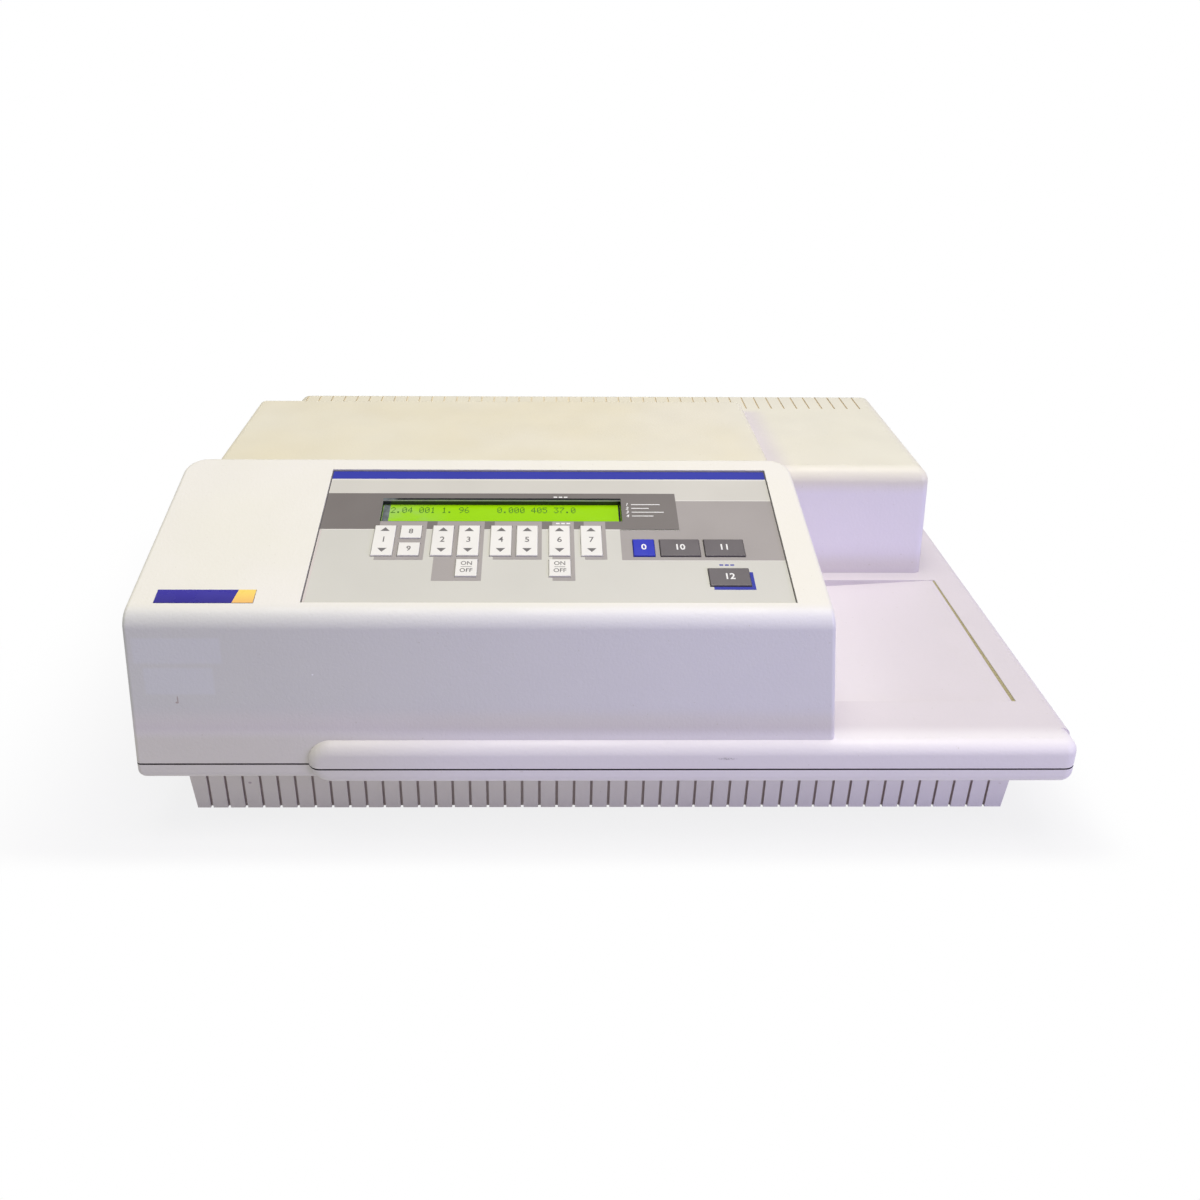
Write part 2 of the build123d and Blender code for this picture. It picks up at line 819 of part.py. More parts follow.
def make_idler_post():
    low = z_belt - pulley_height / 2 - 1.4
    return rod_z(x_idler, y_mid, z_base, low, 7) + rod_z(
        x_idler, y_mid, low, z_belt + pulley_height / 2 + 2, shaft_radius)


def make_motor():
    half = motor_size / 2
    z0 = z_base + motor_gap
    body = span(x_motor - half, x_motor + half, y_mid - half, y_mid + half, z0, z0 + motor_height)
    body = chamfer(body.edges().filter_by(Axis.Z), 4)
    body += rod_z(x_motor, y_mid, z0 + motor_height, z0 + motor_height + 2, 11)
    foot = span(x_motor - half, x_motor + half, y_mid - half, y_mid + half, z_base, z0)
    body += foot
    return body - rod_z(x_motor, y_mid, z0 + motor_height / 2 - 1, z0 + motor_height + 3,
                        shaft_radius + shaft_fit)


def loop(radius, low, high):
    outline = Rectangle(x_idler - x_motor, 2 * radius)
    outline += Pos((x_idler - x_motor) / 2, 0) * Circle(radius)
    outline += Pos((x_motor - x_idler) / 2, 0) * Circle(radius)
    return Pos((x_idler + x_motor) / 2, y_mid, low) * extrude(outline, high - low)


def make_belt():
    low = z_belt - belt_width / 2
    inner = pulley_radius + shaft_fit
    return loop(inner + belt_thick, low, low + belt_width) - loop(inner, low - 1, low + belt_width + 1)


def make_clamp():
    x0 = x_tail + clamp_back
    run = y_mid - pulley_radius - shaft_fit
    body = span(x0, x0 + clamp_length, run - belt_thick - 5, run + 5,
                z_belt - belt_width / 2 - 4, z_carriage)
    return body - span(x0 - 1, x0 + clamp_length + 1, run - belt_thick - clamp_gap, run + clamp_gap,
                       z_belt - belt_width / 2 - clamp_gap, z_belt + belt_width / 2 + clamp_gap)


def make_plate_spring():
    y = y_mid + half_nest - nest_wall
    x = x_nest + spring_start
    low = z_plate + spring_edge
    high = z_plate + nest_rim - spring_edge
    middle = x + spring_length / 2
    leaf = span(x, x + spring_length, y - spring_thick, y, low, high)
    return leaf + span(middle - spring_nib / 2, middle + spring_nib / 2, y - nest_gap, y - spring_thick,
                       low + spring_edge, high - spring_edge)


# ---- optics in the left rear ----
x_mono = x_left + mono_left
y_mono = y_rear - mono_rear - mono_width
y_mono_end = y_mono + mono_width
x_mono_end = x_mono + mono_length
x_table = x_mono + mono_length / 2
y_table = y_mono + mono_width / 2
z_mono = z_base
z_mono_floor = z_mono + mono_wall + pivot_length
z_beam = z_mono_floor + 0.4 + table_height + grating_height / 2


def make_mono_case():
    body = span(x_mono, x_mono_end, y_mono, y_mono_end, z_mono, z_mono_floor + mono_height)
    body = fillet(body.edges().filter_by(Axis.Z), 4)
    body -= span(x_mono + mono_wall, x_mono_end - mono_wall, y_mono + mono_wall,
                 y_mono_end - mono_wall, z_mono_floor, z_mono_floor + mono_height + 1)
    body -= rod_z(x_table, y_table, z_mono + mono_wall - 0.4, z_mono_floor + 1,
                  pivot_radius + shaft_fit)
    body -= rod_x(x_mono_end - mono_wall - 1, x_mono_end + 1, y_table, z_beam, beam_radius)
    return body - rod_y(x_table, y_mono - 1, y_mono + mono_wall + 1, z_beam, beam_radius)


def make_grating_table():
    low = z_mono_floor + 0.4
    body = rod_z(x_table, y_table, z_mono + mono_wall, low, pivot_radius)
    body += rod_z(x_table, y_table, low, low + table_height, table_radius)
    return body + span(x_table - grating_width / 2, x_table + grating_width / 2, y_table,
                       y_table + carrier_thick, low + table_height,
                       low + table_height + grating_height)


def make_grating():
    low = z_mono_floor + 0.4 + table_height
    return span(x_table - grating_width / 2 + 2, x_table + grating_width / 2 - 2,
                y_table - grating_thick, y_table, low + 2, low + grating_height - 2)


def make_lamp_housing():
    y1 = y_mono - lamp_gap
    half = lamp_width / 2
    body = span(x_table - half, x_table + half, y1 - lamp_width, y1, z_base, z_base + lamp_height)
    body = fillet(body.edges().filter_by(Axis.Z), 4)
    body -= span(x_table - half + mono_wall, x_table + half - mono_wall, y1 - lamp_width + mono_wall,
                 y1 - mono_wall, z_base + mono_wall, z_base + lamp_height + 1)
    return body - rod_y(x_table, y1 - mono_wall - 1, y1 + 1, z_beam, beam_radius)


def make_lamp():
    y = y_mono - lamp_gap - lamp_width / 2
    low = z_base + mono_wall
    body = rod_z(x_table, y, low, z_beam - bulb_length / 2, bulb_radius + 3)
    body += rod_z(x_table, y, z_beam - bulb_length / 2, z_beam + bulb_length / 2, bulb_radius)
    return fillet(body.edges().group_by(Axis.Z)[-1], 5)


def make_fibre():
    top = z_plate + optic_clear + optic_height
    end = (x_bar + bar_thick / 2, y_mid, top)
    high = top + fibre_rise
    start = (x_mono_end, y_table, z_beam)
    path = Spline(start, (x_mono_end + 40, y_table - 12, z_beam + 20),
                  ((start[0] + end[0]) / 2, (start[1] + end[1]) / 2 + 18, high),
                  (end[0] - 30, end[1] + 4, high), end,
                  tangents=((1, 0, 0), (0, 0, -1)))
    return sweep(Plane(origin=start, z_dir=(1, 0, 0)) * Circle(fibre_radius), path=path)


# ---- electronics and rear panel ----
x_supply = x_right - plinth_right - wall - supply_right - supply_length
y_supply = y_bay_end + wall + supply_gap
y_boards = y_rear - supply_back
y_main = y_mid + half_nest + post_gap + post_width + main_gap
y_panel = y_rear - wall
z_rear = z_deck + opening_low + opening_height / 2


def make_chassis():
    x0 = x_left + plinth_left + wall + chassis_margin
    x1 = x_right - plinth_right - wall - chassis_margin
    y0 = y_face + plinth_front + wall + chassis_margin
    y1 = y_rear - plinth_rear - wall - chassis_margin
    plate = span(x0, x1, y0, y1, z_chassis, z_base)
    for x, y in chassis_screw_places():
        plate -= rod_z(x, y, z_chassis - 1, z_base + 1, chassis_screw + 0.2)
    return plate


def make_chassis_screws():
    screws = []
    for x, y in chassis_screw_places():
        screw = rod_z(x, y, z_floor + 1, z_base, chassis_screw)
        head = rod_z(x, y, z_base, z_base + screw_head_height, screw_head)
        head -= span(x - 2.4, x + 2.4, y - 0.5, y + 0.5, z_base + 1.2, z_base + 4)
        screws.append(screw + head)
    return group(screws)


def make_main_board():
    x1 = x_supply - main_side
    x0 = x1 - main_length
    low = z_base + main_lift
    board = span(x0, x1, y_main, y_boards, low, low + board_thick)
    for x in (x0 + board_edge, x1 - board_edge):
        for y in (y_main + board_edge, y_boards - board_edge):
            board += rod_z(x, y, z_base, low, board_post)
    top = low + board_thick
    for row in range(int((y_boards - y_main - chip_start) / chip_row)):
        for column in range(int((main_length - chip_start) / chip_pitch)):
            x = x0 + chip_start + column * chip_pitch
            y = y_main + chip_start + row * chip_row
            board += span(x, x + chip_length, y, y + chip_width, top, top + chip_height)
    y = y_boards - board_edge
    return board + span(x0 + chip_start, x0 + chip_start + socket_length, y - socket_width, y, top,
                        top + socket_height)


def make_supply():
    body = span(x_supply, x_supply + supply_length, y_supply, y_boards, z_base,
                z_base + supply_height)
    for index in range(int((supply_length - 2 * slot_edge) / slot_pitch) + 1):
        x = x_supply + slot_edge + index * slot_pitch
        body -= span(x, x + slot_width, y_supply + slot_edge, y_boards - slot_edge,
                     z_base + supply_height - slot_depth, z_base + supply_height + 1)
    return body


def fan_centre():
    return x_block - fan_right, z_rear


def inlet_centre():
    return x_core + inlet_left, z_rear


def switch_centre():
    return x_core + switch_left, z_rear


def port_centres():
    return [x_core + port_left + index * port_pitch for index in range(2)]


def make_rear_panel():
    plate = span(x_core + opening_margin - rear_lap, x_block - opening_margin + rear_lap,
                 y_panel - rear_plate, y_panel, z_deck + opening_low - 2,
                 z_deck + opening_low + opening_height + 4)
    x, z = fan_centre()
    for index in range(6):
        zs = z - 25 + index * 9
        half = math.sqrt(max((fan_size / 2 - 4) ** 2 - max(abs(zs - z), abs(zs + 4.5 - z)) ** 2, 0))
        plate -= span(x - half, x + half, y_panel - 5, y_panel + 1, zs, zs + 4.5)
    x, z = inlet_centre()
    plate -= span(x - inlet_width / 2, x + inlet_width / 2, y_panel - 5, y_panel + 1,
                  z - inlet_height / 2, z + inlet_height / 2)
    x, z = switch_centre()
    plate -= span(x - switch_width / 2, x + switch_width / 2, y_panel - 5, y_panel + 1,
                  z - switch_tall / 2, z + switch_tall / 2)
    for x in port_centres():
        plate -= span(x - port_width / 2, x + port_width / 2, y_panel - 5, y_panel + 1,
                      z_rear - port_tall / 2, z_rear + port_tall / 2)
    return plate


def make_fan_housing():
    x, z = fan_centre()
    y0 = y_panel - rear_plate - fan_depth
    half = fan_size / 2
    body = span(x - half, x + half, y0, y0 + fan_depth, z - half, z + half)
    body = fillet(body.edges().filter_by(Axis.Y), 4)
    body -= rod_y(x, y0 - 1, y0 + fan_depth + 1, z, half - fan_wall)
    body += rod_y(x, y0, y0 + 5, z, hub_radius)
    for angle in (45, 135, 225, 315):
        arm = span(hub_radius - 2, half - fan_wall + 1, 0, 3, -2, 2)
        body += Pos(x, y0, z) * Rot(0, angle, 0) * arm
    return body - rod_y(x, y0 + 1, y0 + 6, z, hub_pin + shaft_fit)


def make_fan_rotor():
    x, z = fan_centre()
    y0 = y_panel - rear_plate - fan_depth
    tip = fan_size / 2 - fan_wall - fan_gap
    rotor = rod_y(x, y0 + 5.5, y0 + fan_depth - 2, z, hub_radius)
    rotor += rod_y(x, y0 + 1.4, y0 + 6, z, hub_pin)
    for index in range(5):
        blade = Pos((tip + hub_radius - 2) / 2, 0, 0) * Rot(38, 0, 0) * Box(tip - hub_radius + 2, 18, 1.4)
        rotor += Pos(x, y0 + 14.5, z) * Rot(0, index * 72, 0) * blade
    return rotor


def make_inlet():
    x, z = inlet_centre()
    y0 = y_panel - rear_plate - inlet_depth
    wide = inlet_width / 2
    tall = inlet_height / 2
    body = span(x - wide, x + wide, y0, y_panel, z - tall, z + tall)
    body += span(x - wide - inlet_lap, x + wide + inlet_lap, y_panel, y_panel + inlet_flange,
                 z - tall - inlet_lap / 2, z + tall + inlet_lap / 2)
    body -= span(x - wide + 2, x + wide - 2, y0 + 4, y_panel + inlet_flange + 1, z - tall + 2.5,
                 z + tall - 2.5)
    for px, pz in ((-7, -2), (0, 2), (7, -2)):
        body += span(x + px - 1, x + px + 1, y0 + 3, y_panel - 3, z + pz - 2.5, z + pz + 2.5)
    return body


def make_switch_bezel():
    x, z = switch_centre()
    wide = switch_width / 2
    tall = switch_tall / 2
    y0 = y_panel - rear_plate - switch_depth
    body = span(x - wide, x + wide, y0, y_panel, z - tall, z + tall)
    body += span(x - wide - switch_lap, x + wide + switch_lap, y_panel, y_panel + 1.5,
                 z - tall - switch_lap, z + tall + switch_lap)
    body -= span(x - wide + 1.2, x + wide - 1.2, y0 + 3, y_panel + 2, z - tall + 1.2, z + tall - 1.2)
    return body - rod_x(x - wide - 1, x + wide + 1, switch_axis()[0], z, switch_pivot + switch_fit)


def switch_axis():
    return y_panel - 6, z_rear


def make_rocker():
    x, z = switch_centre()
    y, z = switch_axis()
    reach = switch_tall / 2 - 1.2 - 0.6
    wide = switch_width / 2 - 1.2 - 0.4
    shape = Circle(reach) & Polygon((-4, -reach), (-4, reach), (4.5, reach), (6.0, reach * 0.72),
                                    (4.2, 0), (6.4, -reach * 0.6), (6.0, -reach), align=None)
    body = extrude(Plane.YZ * shape, wide, both=True)
    body += Rot(0, 90, 0) * Cylinder(switch_pivot, switch_width - 0.4)
    return Pos(x, y, z) * Rot(switch_tilt, 0, 0) * body


def make_ports():
    ports = []
    wide = port_width / 2 - port_gap
    tall = port_tall / 2 - port_gap
    shape = Polygon((-wide, tall), (wide, tall), (wide - port_slant, -tall), (port_slant - wide, -tall),
                    align=None)
    shell = extrude(Plane.XZ * shape, -(port_depth + wall - port_gap))
    for x in port_centres():
        plate = span(x - port_plate / 2, x + port_plate / 2, y_panel, y_panel + 1,
                     z_rear - port_flange / 2, z_rear + port_flange / 2)
        ports.append(plate + Pos(x, y_panel - port_depth, z_rear) * shell)
    return group(ports)


save(make_top_cover(), "top_cover")
save(make_bottom_cover(), "bottom_cover")
save(make_feet(), "rubber_feet")
save(make_cover_screws(), "cover_screws")
save(make_strip(), "bay_strip")
save(make_panel_plate(), "control_panel")
for key_name, place in key_places().items():
    save(make_key(*place), key_name)
save(make_key_board(), "keypad_board")
save(make_lcd_frame(), "lcd_frame")
save(make_lcd_glass(), "lcd_glass")
save(make_badge(), "badge_plate")
save(make_carriage(), "drawer_carriage")
save(make_drawer_front(), "drawer_front")
save(make_bearings(), "drawer_bearings")
save(make_clamp(), "belt_clamp")
save(make_plate_spring(), "plate_spring")
save(make_rods(), "guide_rods")
save(make_rod_posts(), "rod_posts")
save(make_detector_bar(), "detector_bar")
save(make_optics_bar(), "optics_bar")
save(make_optics_posts(), "optics_posts")
save(make_drive_pulley(), "drive_pulley")
save(make_idler_pulley(), "idler_pulley")
save(make_idler_post(), "idler_post")
save(make_motor(), "drive_motor")
save(make_belt(), "drive_belt")
save(make_mono_case(), "grating_case")
save(make_grating_table(), "grating_table")
save(make_grating(), "grating")
save(make_lamp_housing(), "lamp_housing")
save(make_lamp(), "flash_lamp")
save(make_fibre(), "fibre_bundle")
save(make_chassis(), "chassis_plate")
save(make_chassis_screws(), "chassis_screws")
save(make_main_board(), "main_board")
save(make_supply(), "power_supply")
save(make_rear_panel(), "rear_panel")
save(make_fan_housing(), "fan_housing")
save(make_fan_rotor(), "fan_rotor")
save(make_inlet(), "mains_inlet")
save(make_switch_bezel(), "switch_bezel")
save(make_rocker(), "power_rocker")
save(make_ports(), "serial_ports")
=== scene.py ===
import json
import math
import bmesh
import bpy
from mathutils import Matrix, Vector


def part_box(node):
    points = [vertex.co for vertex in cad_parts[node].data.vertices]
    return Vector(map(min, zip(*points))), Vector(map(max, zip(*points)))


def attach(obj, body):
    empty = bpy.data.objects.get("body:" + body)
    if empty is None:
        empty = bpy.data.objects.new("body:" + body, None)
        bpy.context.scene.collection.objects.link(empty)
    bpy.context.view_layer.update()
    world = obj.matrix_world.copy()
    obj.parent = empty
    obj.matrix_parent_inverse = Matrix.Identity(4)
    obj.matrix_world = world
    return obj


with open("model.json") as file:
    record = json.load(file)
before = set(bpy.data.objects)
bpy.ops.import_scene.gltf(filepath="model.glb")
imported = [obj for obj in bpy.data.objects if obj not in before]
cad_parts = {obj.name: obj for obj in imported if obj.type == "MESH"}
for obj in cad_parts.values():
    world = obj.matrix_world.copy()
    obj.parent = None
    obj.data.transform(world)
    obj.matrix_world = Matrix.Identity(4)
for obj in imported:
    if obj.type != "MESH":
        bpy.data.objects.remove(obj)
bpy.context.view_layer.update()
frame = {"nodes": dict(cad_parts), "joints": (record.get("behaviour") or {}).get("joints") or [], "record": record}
nodes = frame["nodes"]
joints = {joint["name"]: joint for joint in frame["joints"]}
mm = 0.001


# the panel's own frame: u to the right, v up the slope, n out of it, in millimetres
def spread(node, turn):
    points = [turn @ vertex.co for vertex in nodes[node].data.vertices]
    low = Vector(min(point[axis] for point in points) for axis in range(3))
    high = Vector(max(point[axis] for point in points) for axis in range(3))
    return low, high


pressWay = Vector(joints["press_read"]["axis"])
slopeTurn = Matrix.Rotation(math.atan2(pressWay.y, -pressWay.z), 4, "X")
plateLow, plateHigh = spread("control_panel", slopeTurn.inverted())
panelFrame = (slopeTurn @ Matrix.Translation((plateLow.x, plateLow.y, plateHigh.z)) @ Matrix.Scale(mm, 4))
panelBack = panelFrame.inverted()
panelWide = (plateHigh.x - plateLow.x) / mm
panelTall = (plateHigh.y - plateLow.y) / mm


def keyCap(key):  # the cap's sides and top, without its hidden flange
    flange = 1.0
    low, high = spread(key, panelBack)
    return low.x + flange, high.x - flange, low.y + flange, high.y - flange, high.z


# small helpers for nodes in materials
def newMaterial(name, color, roughness=0.5, metallic=0.0):
    material = bpy.data.materials.new(name)
    material.use_nodes = True
    shader = material.node_tree.nodes["Principled BSDF"]
    shader.inputs["Base Color"].default_value = (*color, 1)
    shader.inputs["Roughness"].default_value = roughness
    shader.inputs["Metallic"].default_value = metallic
    return material


def addNode(material, kind, **settings):
    node = material.node_tree.nodes.new(kind)
    for key, value in settings.items():
        setattr(node, key, value)
    return node


def join(material, source, target):
    if hasattr(source, "is_output"):
        material.node_tree.links.new(source, target)
    else:
        target.default_value = source


def noise(material, scale, detail=2.0, stretch=(1, 1, 1), offset=(0, 0, 0)):
    place = addNode(material, "ShaderNodeTexCoord")
    mapping = addNode(material, "ShaderNodeMapping")
    mapping.inputs["Scale"].default_value = stretch
    mapping.inputs["Location"].default_value = offset
    join(material, place.outputs["Object"], mapping.inputs["Vector"])
    grain = addNode(material, "ShaderNodeTexNoise")
    grain.inputs["Scale"].default_value = scale
    grain.inputs["Detail"].default_value = detail
    join(material, mapping.outputs["Vector"], grain.inputs["Vector"])
    return grain.outputs["Fac"]


def ramp(material, source, low, high, first, last):  # first at low and below, last at high and above
    node = addNode(material, "ShaderNodeMapRange", interpolation_type="SMOOTHSTEP")
    for name, value in (("Value", source), ("From Min", low), ("From Max", high), ("To Min", first),
                        ("To Max", last)):
        join(material, value, node.inputs[name])
    return node.outputs["Result"]


def calculate(material, operation, first, second=0.0):
    node = addNode(material, "ShaderNodeMath", operation=operation)
    join(material, first, node.inputs[0])
    join(material, second, node.inputs[1])
    return node.outputs[0]


def allOf(material, *masks):
    result = masks[0]
    for mask in masks[1:]:
        result = calculate(material, "MULTIPLY", result, mask)
    return result


def axes(material):
    place = addNode(material, "ShaderNodeTexCoord")
    split = addNode(material, "ShaderNodeSeparateXYZ")
    join(material, place.outputs["Object"], split.inputs["Vector"])
    return split.outputs["X"], split.outputs["Y"], split.outputs["Z"]


def within(material, value, low, high, soft):  # 1 between low and high, fading over soft
    return allOf(material, ramp(material, value, low - soft, low + soft, 0.0, 1.0),
                 ramp(material, value, high - soft, high + soft, 1.0, 0.0))


def spot(material, centre, size, edge=0.6):  # an oval stain, 1 in the middle
    place = addNode(material, "ShaderNodeTexCoord")
    away = addNode(material, "ShaderNodeVectorMath", operation="SUBTRACT")
    scaled = addNode(material, "ShaderNodeVectorMath", operation="DIVIDE")
    length = addNode(material, "ShaderNodeVectorMath", operation="LENGTH")
    join(material, place.outputs["Object"], away.inputs[0])
    away.inputs[1].default_value = centre
    join(material, away.outputs["Vector"], scaled.inputs[0])
    scaled.inputs[1].default_value = size
    join(material, scaled.outputs["Vector"], length.inputs[0])
    return ramp(material, length.outputs["Value"], edge, 1.0, 1.0, 0.0)


def blend(material, factor, first, second):
    node = addNode(material, "ShaderNodeMix", data_type="RGBA")
    join(material, factor, node.inputs[0])
    for index, value in ((6, first), (7, second)):
        join(material, value if hasattr(value, "is_output") else (*value, 1), node.inputs[index])
    return node.outputs[2]


def paint(material, color):
    join(material, color, material.node_tree.nodes["Principled BSDF"].inputs["Base Color"])


def roughen(material, source, low, high):
    join(material, ramp(material, source, 0.3, 0.7, low, high),
         material.node_tree.nodes["Principled BSDF"].inputs["Roughness"])


def addBump(material, source, depth, strength=1.0):
    bump = addNode(material, "ShaderNodeBump")
    bump.inputs["Distance"].default_value = depth
    bump.inputs["Strength"].default_value = strength
    join(material, source, bump.inputs["Height"])
    shader = material.node_tree.nodes["Principled BSDF"]
    last = shader.inputs["Normal"].links
    if last:
        join(material, last[0].from_socket, bump.inputs["Normal"])
    join(material, bump.outputs["Normal"], shader.inputs["Normal"])


def tint(color, share):
    return tuple(min(part * share, 1.0) for part in color)


def mottled(name, color, roughness, spread=0.06, scale=6.0, grain=900.0, depth=0.00005, metallic=0.0):
    material = newMaterial(name, color, roughness, metallic)
    paint(material, blend(material, ramp(material, noise(material, scale, 4), 0.35, 0.65, 0.0, 1.0),
                          tint(color, 1 - spread), tint(color, 1 + spread)))
    roughen(material, noise(material, scale * 3, 3), roughness - 0.06, roughness + 0.06)
    addBump(material, noise(material, grain, 2), depth)
    return material


def filmed(name, color, roughness, spread=0.03, scale=12.0):  # a smooth printed film
    return mottled(name, color, roughness, spread, scale, 1600.0, 0.00003)


def brushed(name, color, roughness, stretch):  # metal with fine lines along one axis
    material = newMaterial(name, color, roughness, 1.0)
    lines = noise(material, 60.0, 4, stretch)
    paint(material, blend(material, ramp(material, lines, 0.3, 0.7, 0.0, 1.0), tint(color, 0.86), color))
    roughen(material, lines, roughness - 0.08, roughness + 0.1)
    addBump(material, lines, 0.00003, 0.6)
    return material


# materials; of the cover's tones, the deck's, the plinth's, the console front's and the grooves' are painted
# shade, the block wall's is painted light, and the cool tone is painted light below the deck
coverLook = {
    "cream": (0.785, 0.765, 0.670), "aged": (0.775, 0.715, 0.545), "deckShade": (0.660, 0.605, 0.650),
    "wallLight": (0.850, 0.815, 0.930), "plinthShade": (0.685, 0.655, 0.545), "cloudAndLowLight": (0.835, 0.800, 0.815),
    "sill": (0.735, 0.708, 0.635), "frontLeft": (0.690, 0.690, 0.650), "frontRight": (0.765, 0.755, 0.780),
    "darkMarkAndRibShade": (0.470, 0.400, 0.370), "ventShade": (0.780, 0.700, 0.540), "shadow": (0.045, 0.035, 0.035),
    "fleck": (0.90, 0.90, 0.90), "rub": (0.30, 0.27, 0.28), "ghost": (0.77, 0.79, 0.86),
    "roughness": 0.50,
}
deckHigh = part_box("bay_strip")[1].z


def yellowLid(material, color, x, y, z):  # the flat rear lid has yellowed more than the console
    look = {"front": (-0.044, -0.034), "right": (0.09, 0.15), "foot": (0.12, 0.16), "least": 0.35}
    lid = allOf(material, ramp(material, y, *look["front"], 0.0, 1.0),
                ramp(material, x, *look["right"], 1.0, look["least"]),
                ramp(material, z, *look["foot"], 0.0, 1.0))
    cloud = ramp(material, noise(material, 7.0, 4, offset=(3, 1, 7)), 0.35, 0.7, 0.55, 1.0)
    return blend(material, allOf(material, lid, cloud), color, coverLook["aged"])


def paintedLidShadow(material, color, x, y, z):  # painted shadow of the lid's right wall, a darker strip on the block's top along the lid
    look = {"left": (0.124, 0.130), "right": (0.134, 0.156), "front": (0.02, 0.03), "back": (0.140, 0.152),
            "height": (0.160, 0.1655), "soft": 0.0004, "share": 0.75}
    strip = allOf(material, ramp(material, x, *look["right"], look["share"], 0.0),
                  ramp(material, x, *look["left"], 0.0, 1.0), ramp(material, y, *look["front"], 0.0, 1.0),
                  ramp(material, y, *look["back"], 1.0, 0.0),
                  within(material, z, *look["height"], look["soft"]))
    return blend(material, strip, color, coverLook["deckShade"])


def paintedWallLight(material, color, x, y, z):  # painted light: the block's front and side lighter and bluer, as lit from the front and right and by the deck
    look = {"left": (0.142, 0.150), "share": 0.8, "depth": (0.02, 0.19), "least": 0.3,
            "height": (0.086, 0.150), "soft": 0.008, "front": (0.014, 0.018)}
    wall = allOf(material, ramp(material, x, *look["left"], 0.0, look["share"]),
                 ramp(material, y, *look["depth"], 1.0, look["least"]),
                 within(material, z, *look["height"], look["soft"]),
                 ramp(material, y, *look["front"], 0.0, 1.0))
    return blend(material, wall, color, coverLook["wallLight"])


def paintedFaceShade(material, color, x, y, z):  # painted shade on the console's front: darker than the top, greyer at the left, lighter and bluer towards the right
    look = {"depth": (-0.180, -0.170), "foot": 0.010, "full": 0.025, "across": (-0.27, 0.10)}
    face = allOf(material, ramp(material, y, *look["depth"], 1.0, 0.0),
                 ramp(material, z, deckHigh + look["foot"], deckHigh + look["full"], 0.0, 1.0))
    across = blend(material, ramp(material, x, *look["across"], 0.0, 1.0), coverLook["frontLeft"],
                   coverLook["frontRight"])
    return blend(material, face, color, across)


def paintedDeckShadeLowLight(material, color, y, z):  # painted shade on the deck, which the console shades, and painted light on the nose and everything below the deck
    look = {"deckShade": (-0.004, 0.030), "share": 0.85, "nose": (-0.012, -0.002), "front": (-0.183, -0.170),
            "head": (0.002, 0.010)}
    below = ramp(material, z, deckHigh + look["deckShade"][0], deckHigh + look["deckShade"][1], 1.0, 0.0)
    color = blend(material, calculate(material, "MULTIPLY", below, look["share"]), color, coverLook["deckShade"])
    nose = ramp(material, z, deckHigh + look["nose"][0], deckHigh + look["nose"][1], 1.0, 0.0)
    front = allOf(material, ramp(material, y, *look["front"], 1.0, 0.0),
                  ramp(material, z, deckHigh + look["head"][0], deckHigh + look["head"][1], 1.0, 0.0))
    edge = calculate(material, "MAXIMUM", nose, front)
    return blend(material, edge, color, coverLook["cloudAndLowLight"])


def sillTonePlinthShade(material, color, x, y, z):  # the sill's left end painted darker and warmer, and painted shade on the plinth under the overhang, heaviest at the left
    look = {"right": (-0.22, -0.06), "depth": (-0.175, -0.165), "foot": (0.0440, 0.0445), "head": 0.012,
            "plinth": (0.044, 0.046), "across": (-0.10, 0.25), "most": 0.9, "least": 0.1}
    left = allOf(material, ramp(material, x, *look["right"], 1.0, 0.0),
                 ramp(material, y, *look["depth"], 1.0, 0.0), ramp(material, z, *look["foot"], 0.0, 1.0),
                 ramp(material, z, deckHigh, deckHigh + look["head"], 1.0, 0.0))
    color = blend(material, left, color, coverLook["sill"])
    ribs = allOf(material, ramp(material, z, *look["plinth"], 1.0, 0.0),
                 ramp(material, x, *look["across"], look["most"], look["least"]))
    return blend(material, ribs, color, coverLook["plinthShade"])


grooveLook = {
    "pitch": 0.0111, "slack": 0.00005, "margin": 0.001, "soft": 0.0001,
    "ventStart": -0.2518, "ventCount": 45, "ventWide": 0.0013, "ventDeep": 0.0014, "ventDrop": 0.0100,
    "ventFront": 0.1526, "blockTop": 0.1638,
    "ribStart": -0.2539, "ribCount": 46, "ribWide": 0.0017, "ribDepth": (-0.0020, 0.0023), "ribTop": 0.0450,
    "ribFront": -0.1668, "ribLean": 0.073,
}


def grooveStripes(material, x, start, wide):  # 1 inside each groove's width
    shifted = calculate(material, "SUBTRACT", x, start - grooveLook["slack"])
    share = calculate(material, "FLOORED_MODULO", shifted, grooveLook["pitch"])
    return calculate(material, "LESS_THAN", share, wide + 2 * grooveLook["slack"])


def darkenParting(material, color, z):
    look = {"half": 0.00055, "soft": 0.00003}
    seam = (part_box("top_cover")[0].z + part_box("bottom_cover")[1].z) / 2
    parting = within(material, z, seam - look["half"], seam + look["half"], look["soft"])
    return blend(material, parting, color, coverLook["shadow"])


def paintedRibShade(material, color, x, y, z):  # painted shade in the plinth's grooves, which lean as its wall does
    look = grooveLook
    down = calculate(material, "SUBTRACT", z, look["ribTop"])
    leant = calculate(material, "MULTIPLY", down, look["ribLean"])
    inward = calculate(material, "SUBTRACT", calculate(material, "ADD", y, leant), look["ribFront"])
    last = look["ribStart"] + (look["ribCount"] - 1) * look["pitch"] + look["ribWide"]
    rib = allOf(material, within(material, inward, *look["ribDepth"], look["soft"]),
                within(material, x, look["ribStart"] - look["margin"], last + look["margin"], look["soft"]),
                grooveStripes(material, x, look["ribStart"], look["ribWide"]),
                ramp(material, z, look["ribTop"], look["ribTop"] + look["soft"], 1.0, 0.0))
    return blend(material, rib, color, coverLook["darkMarkAndRibShade"])


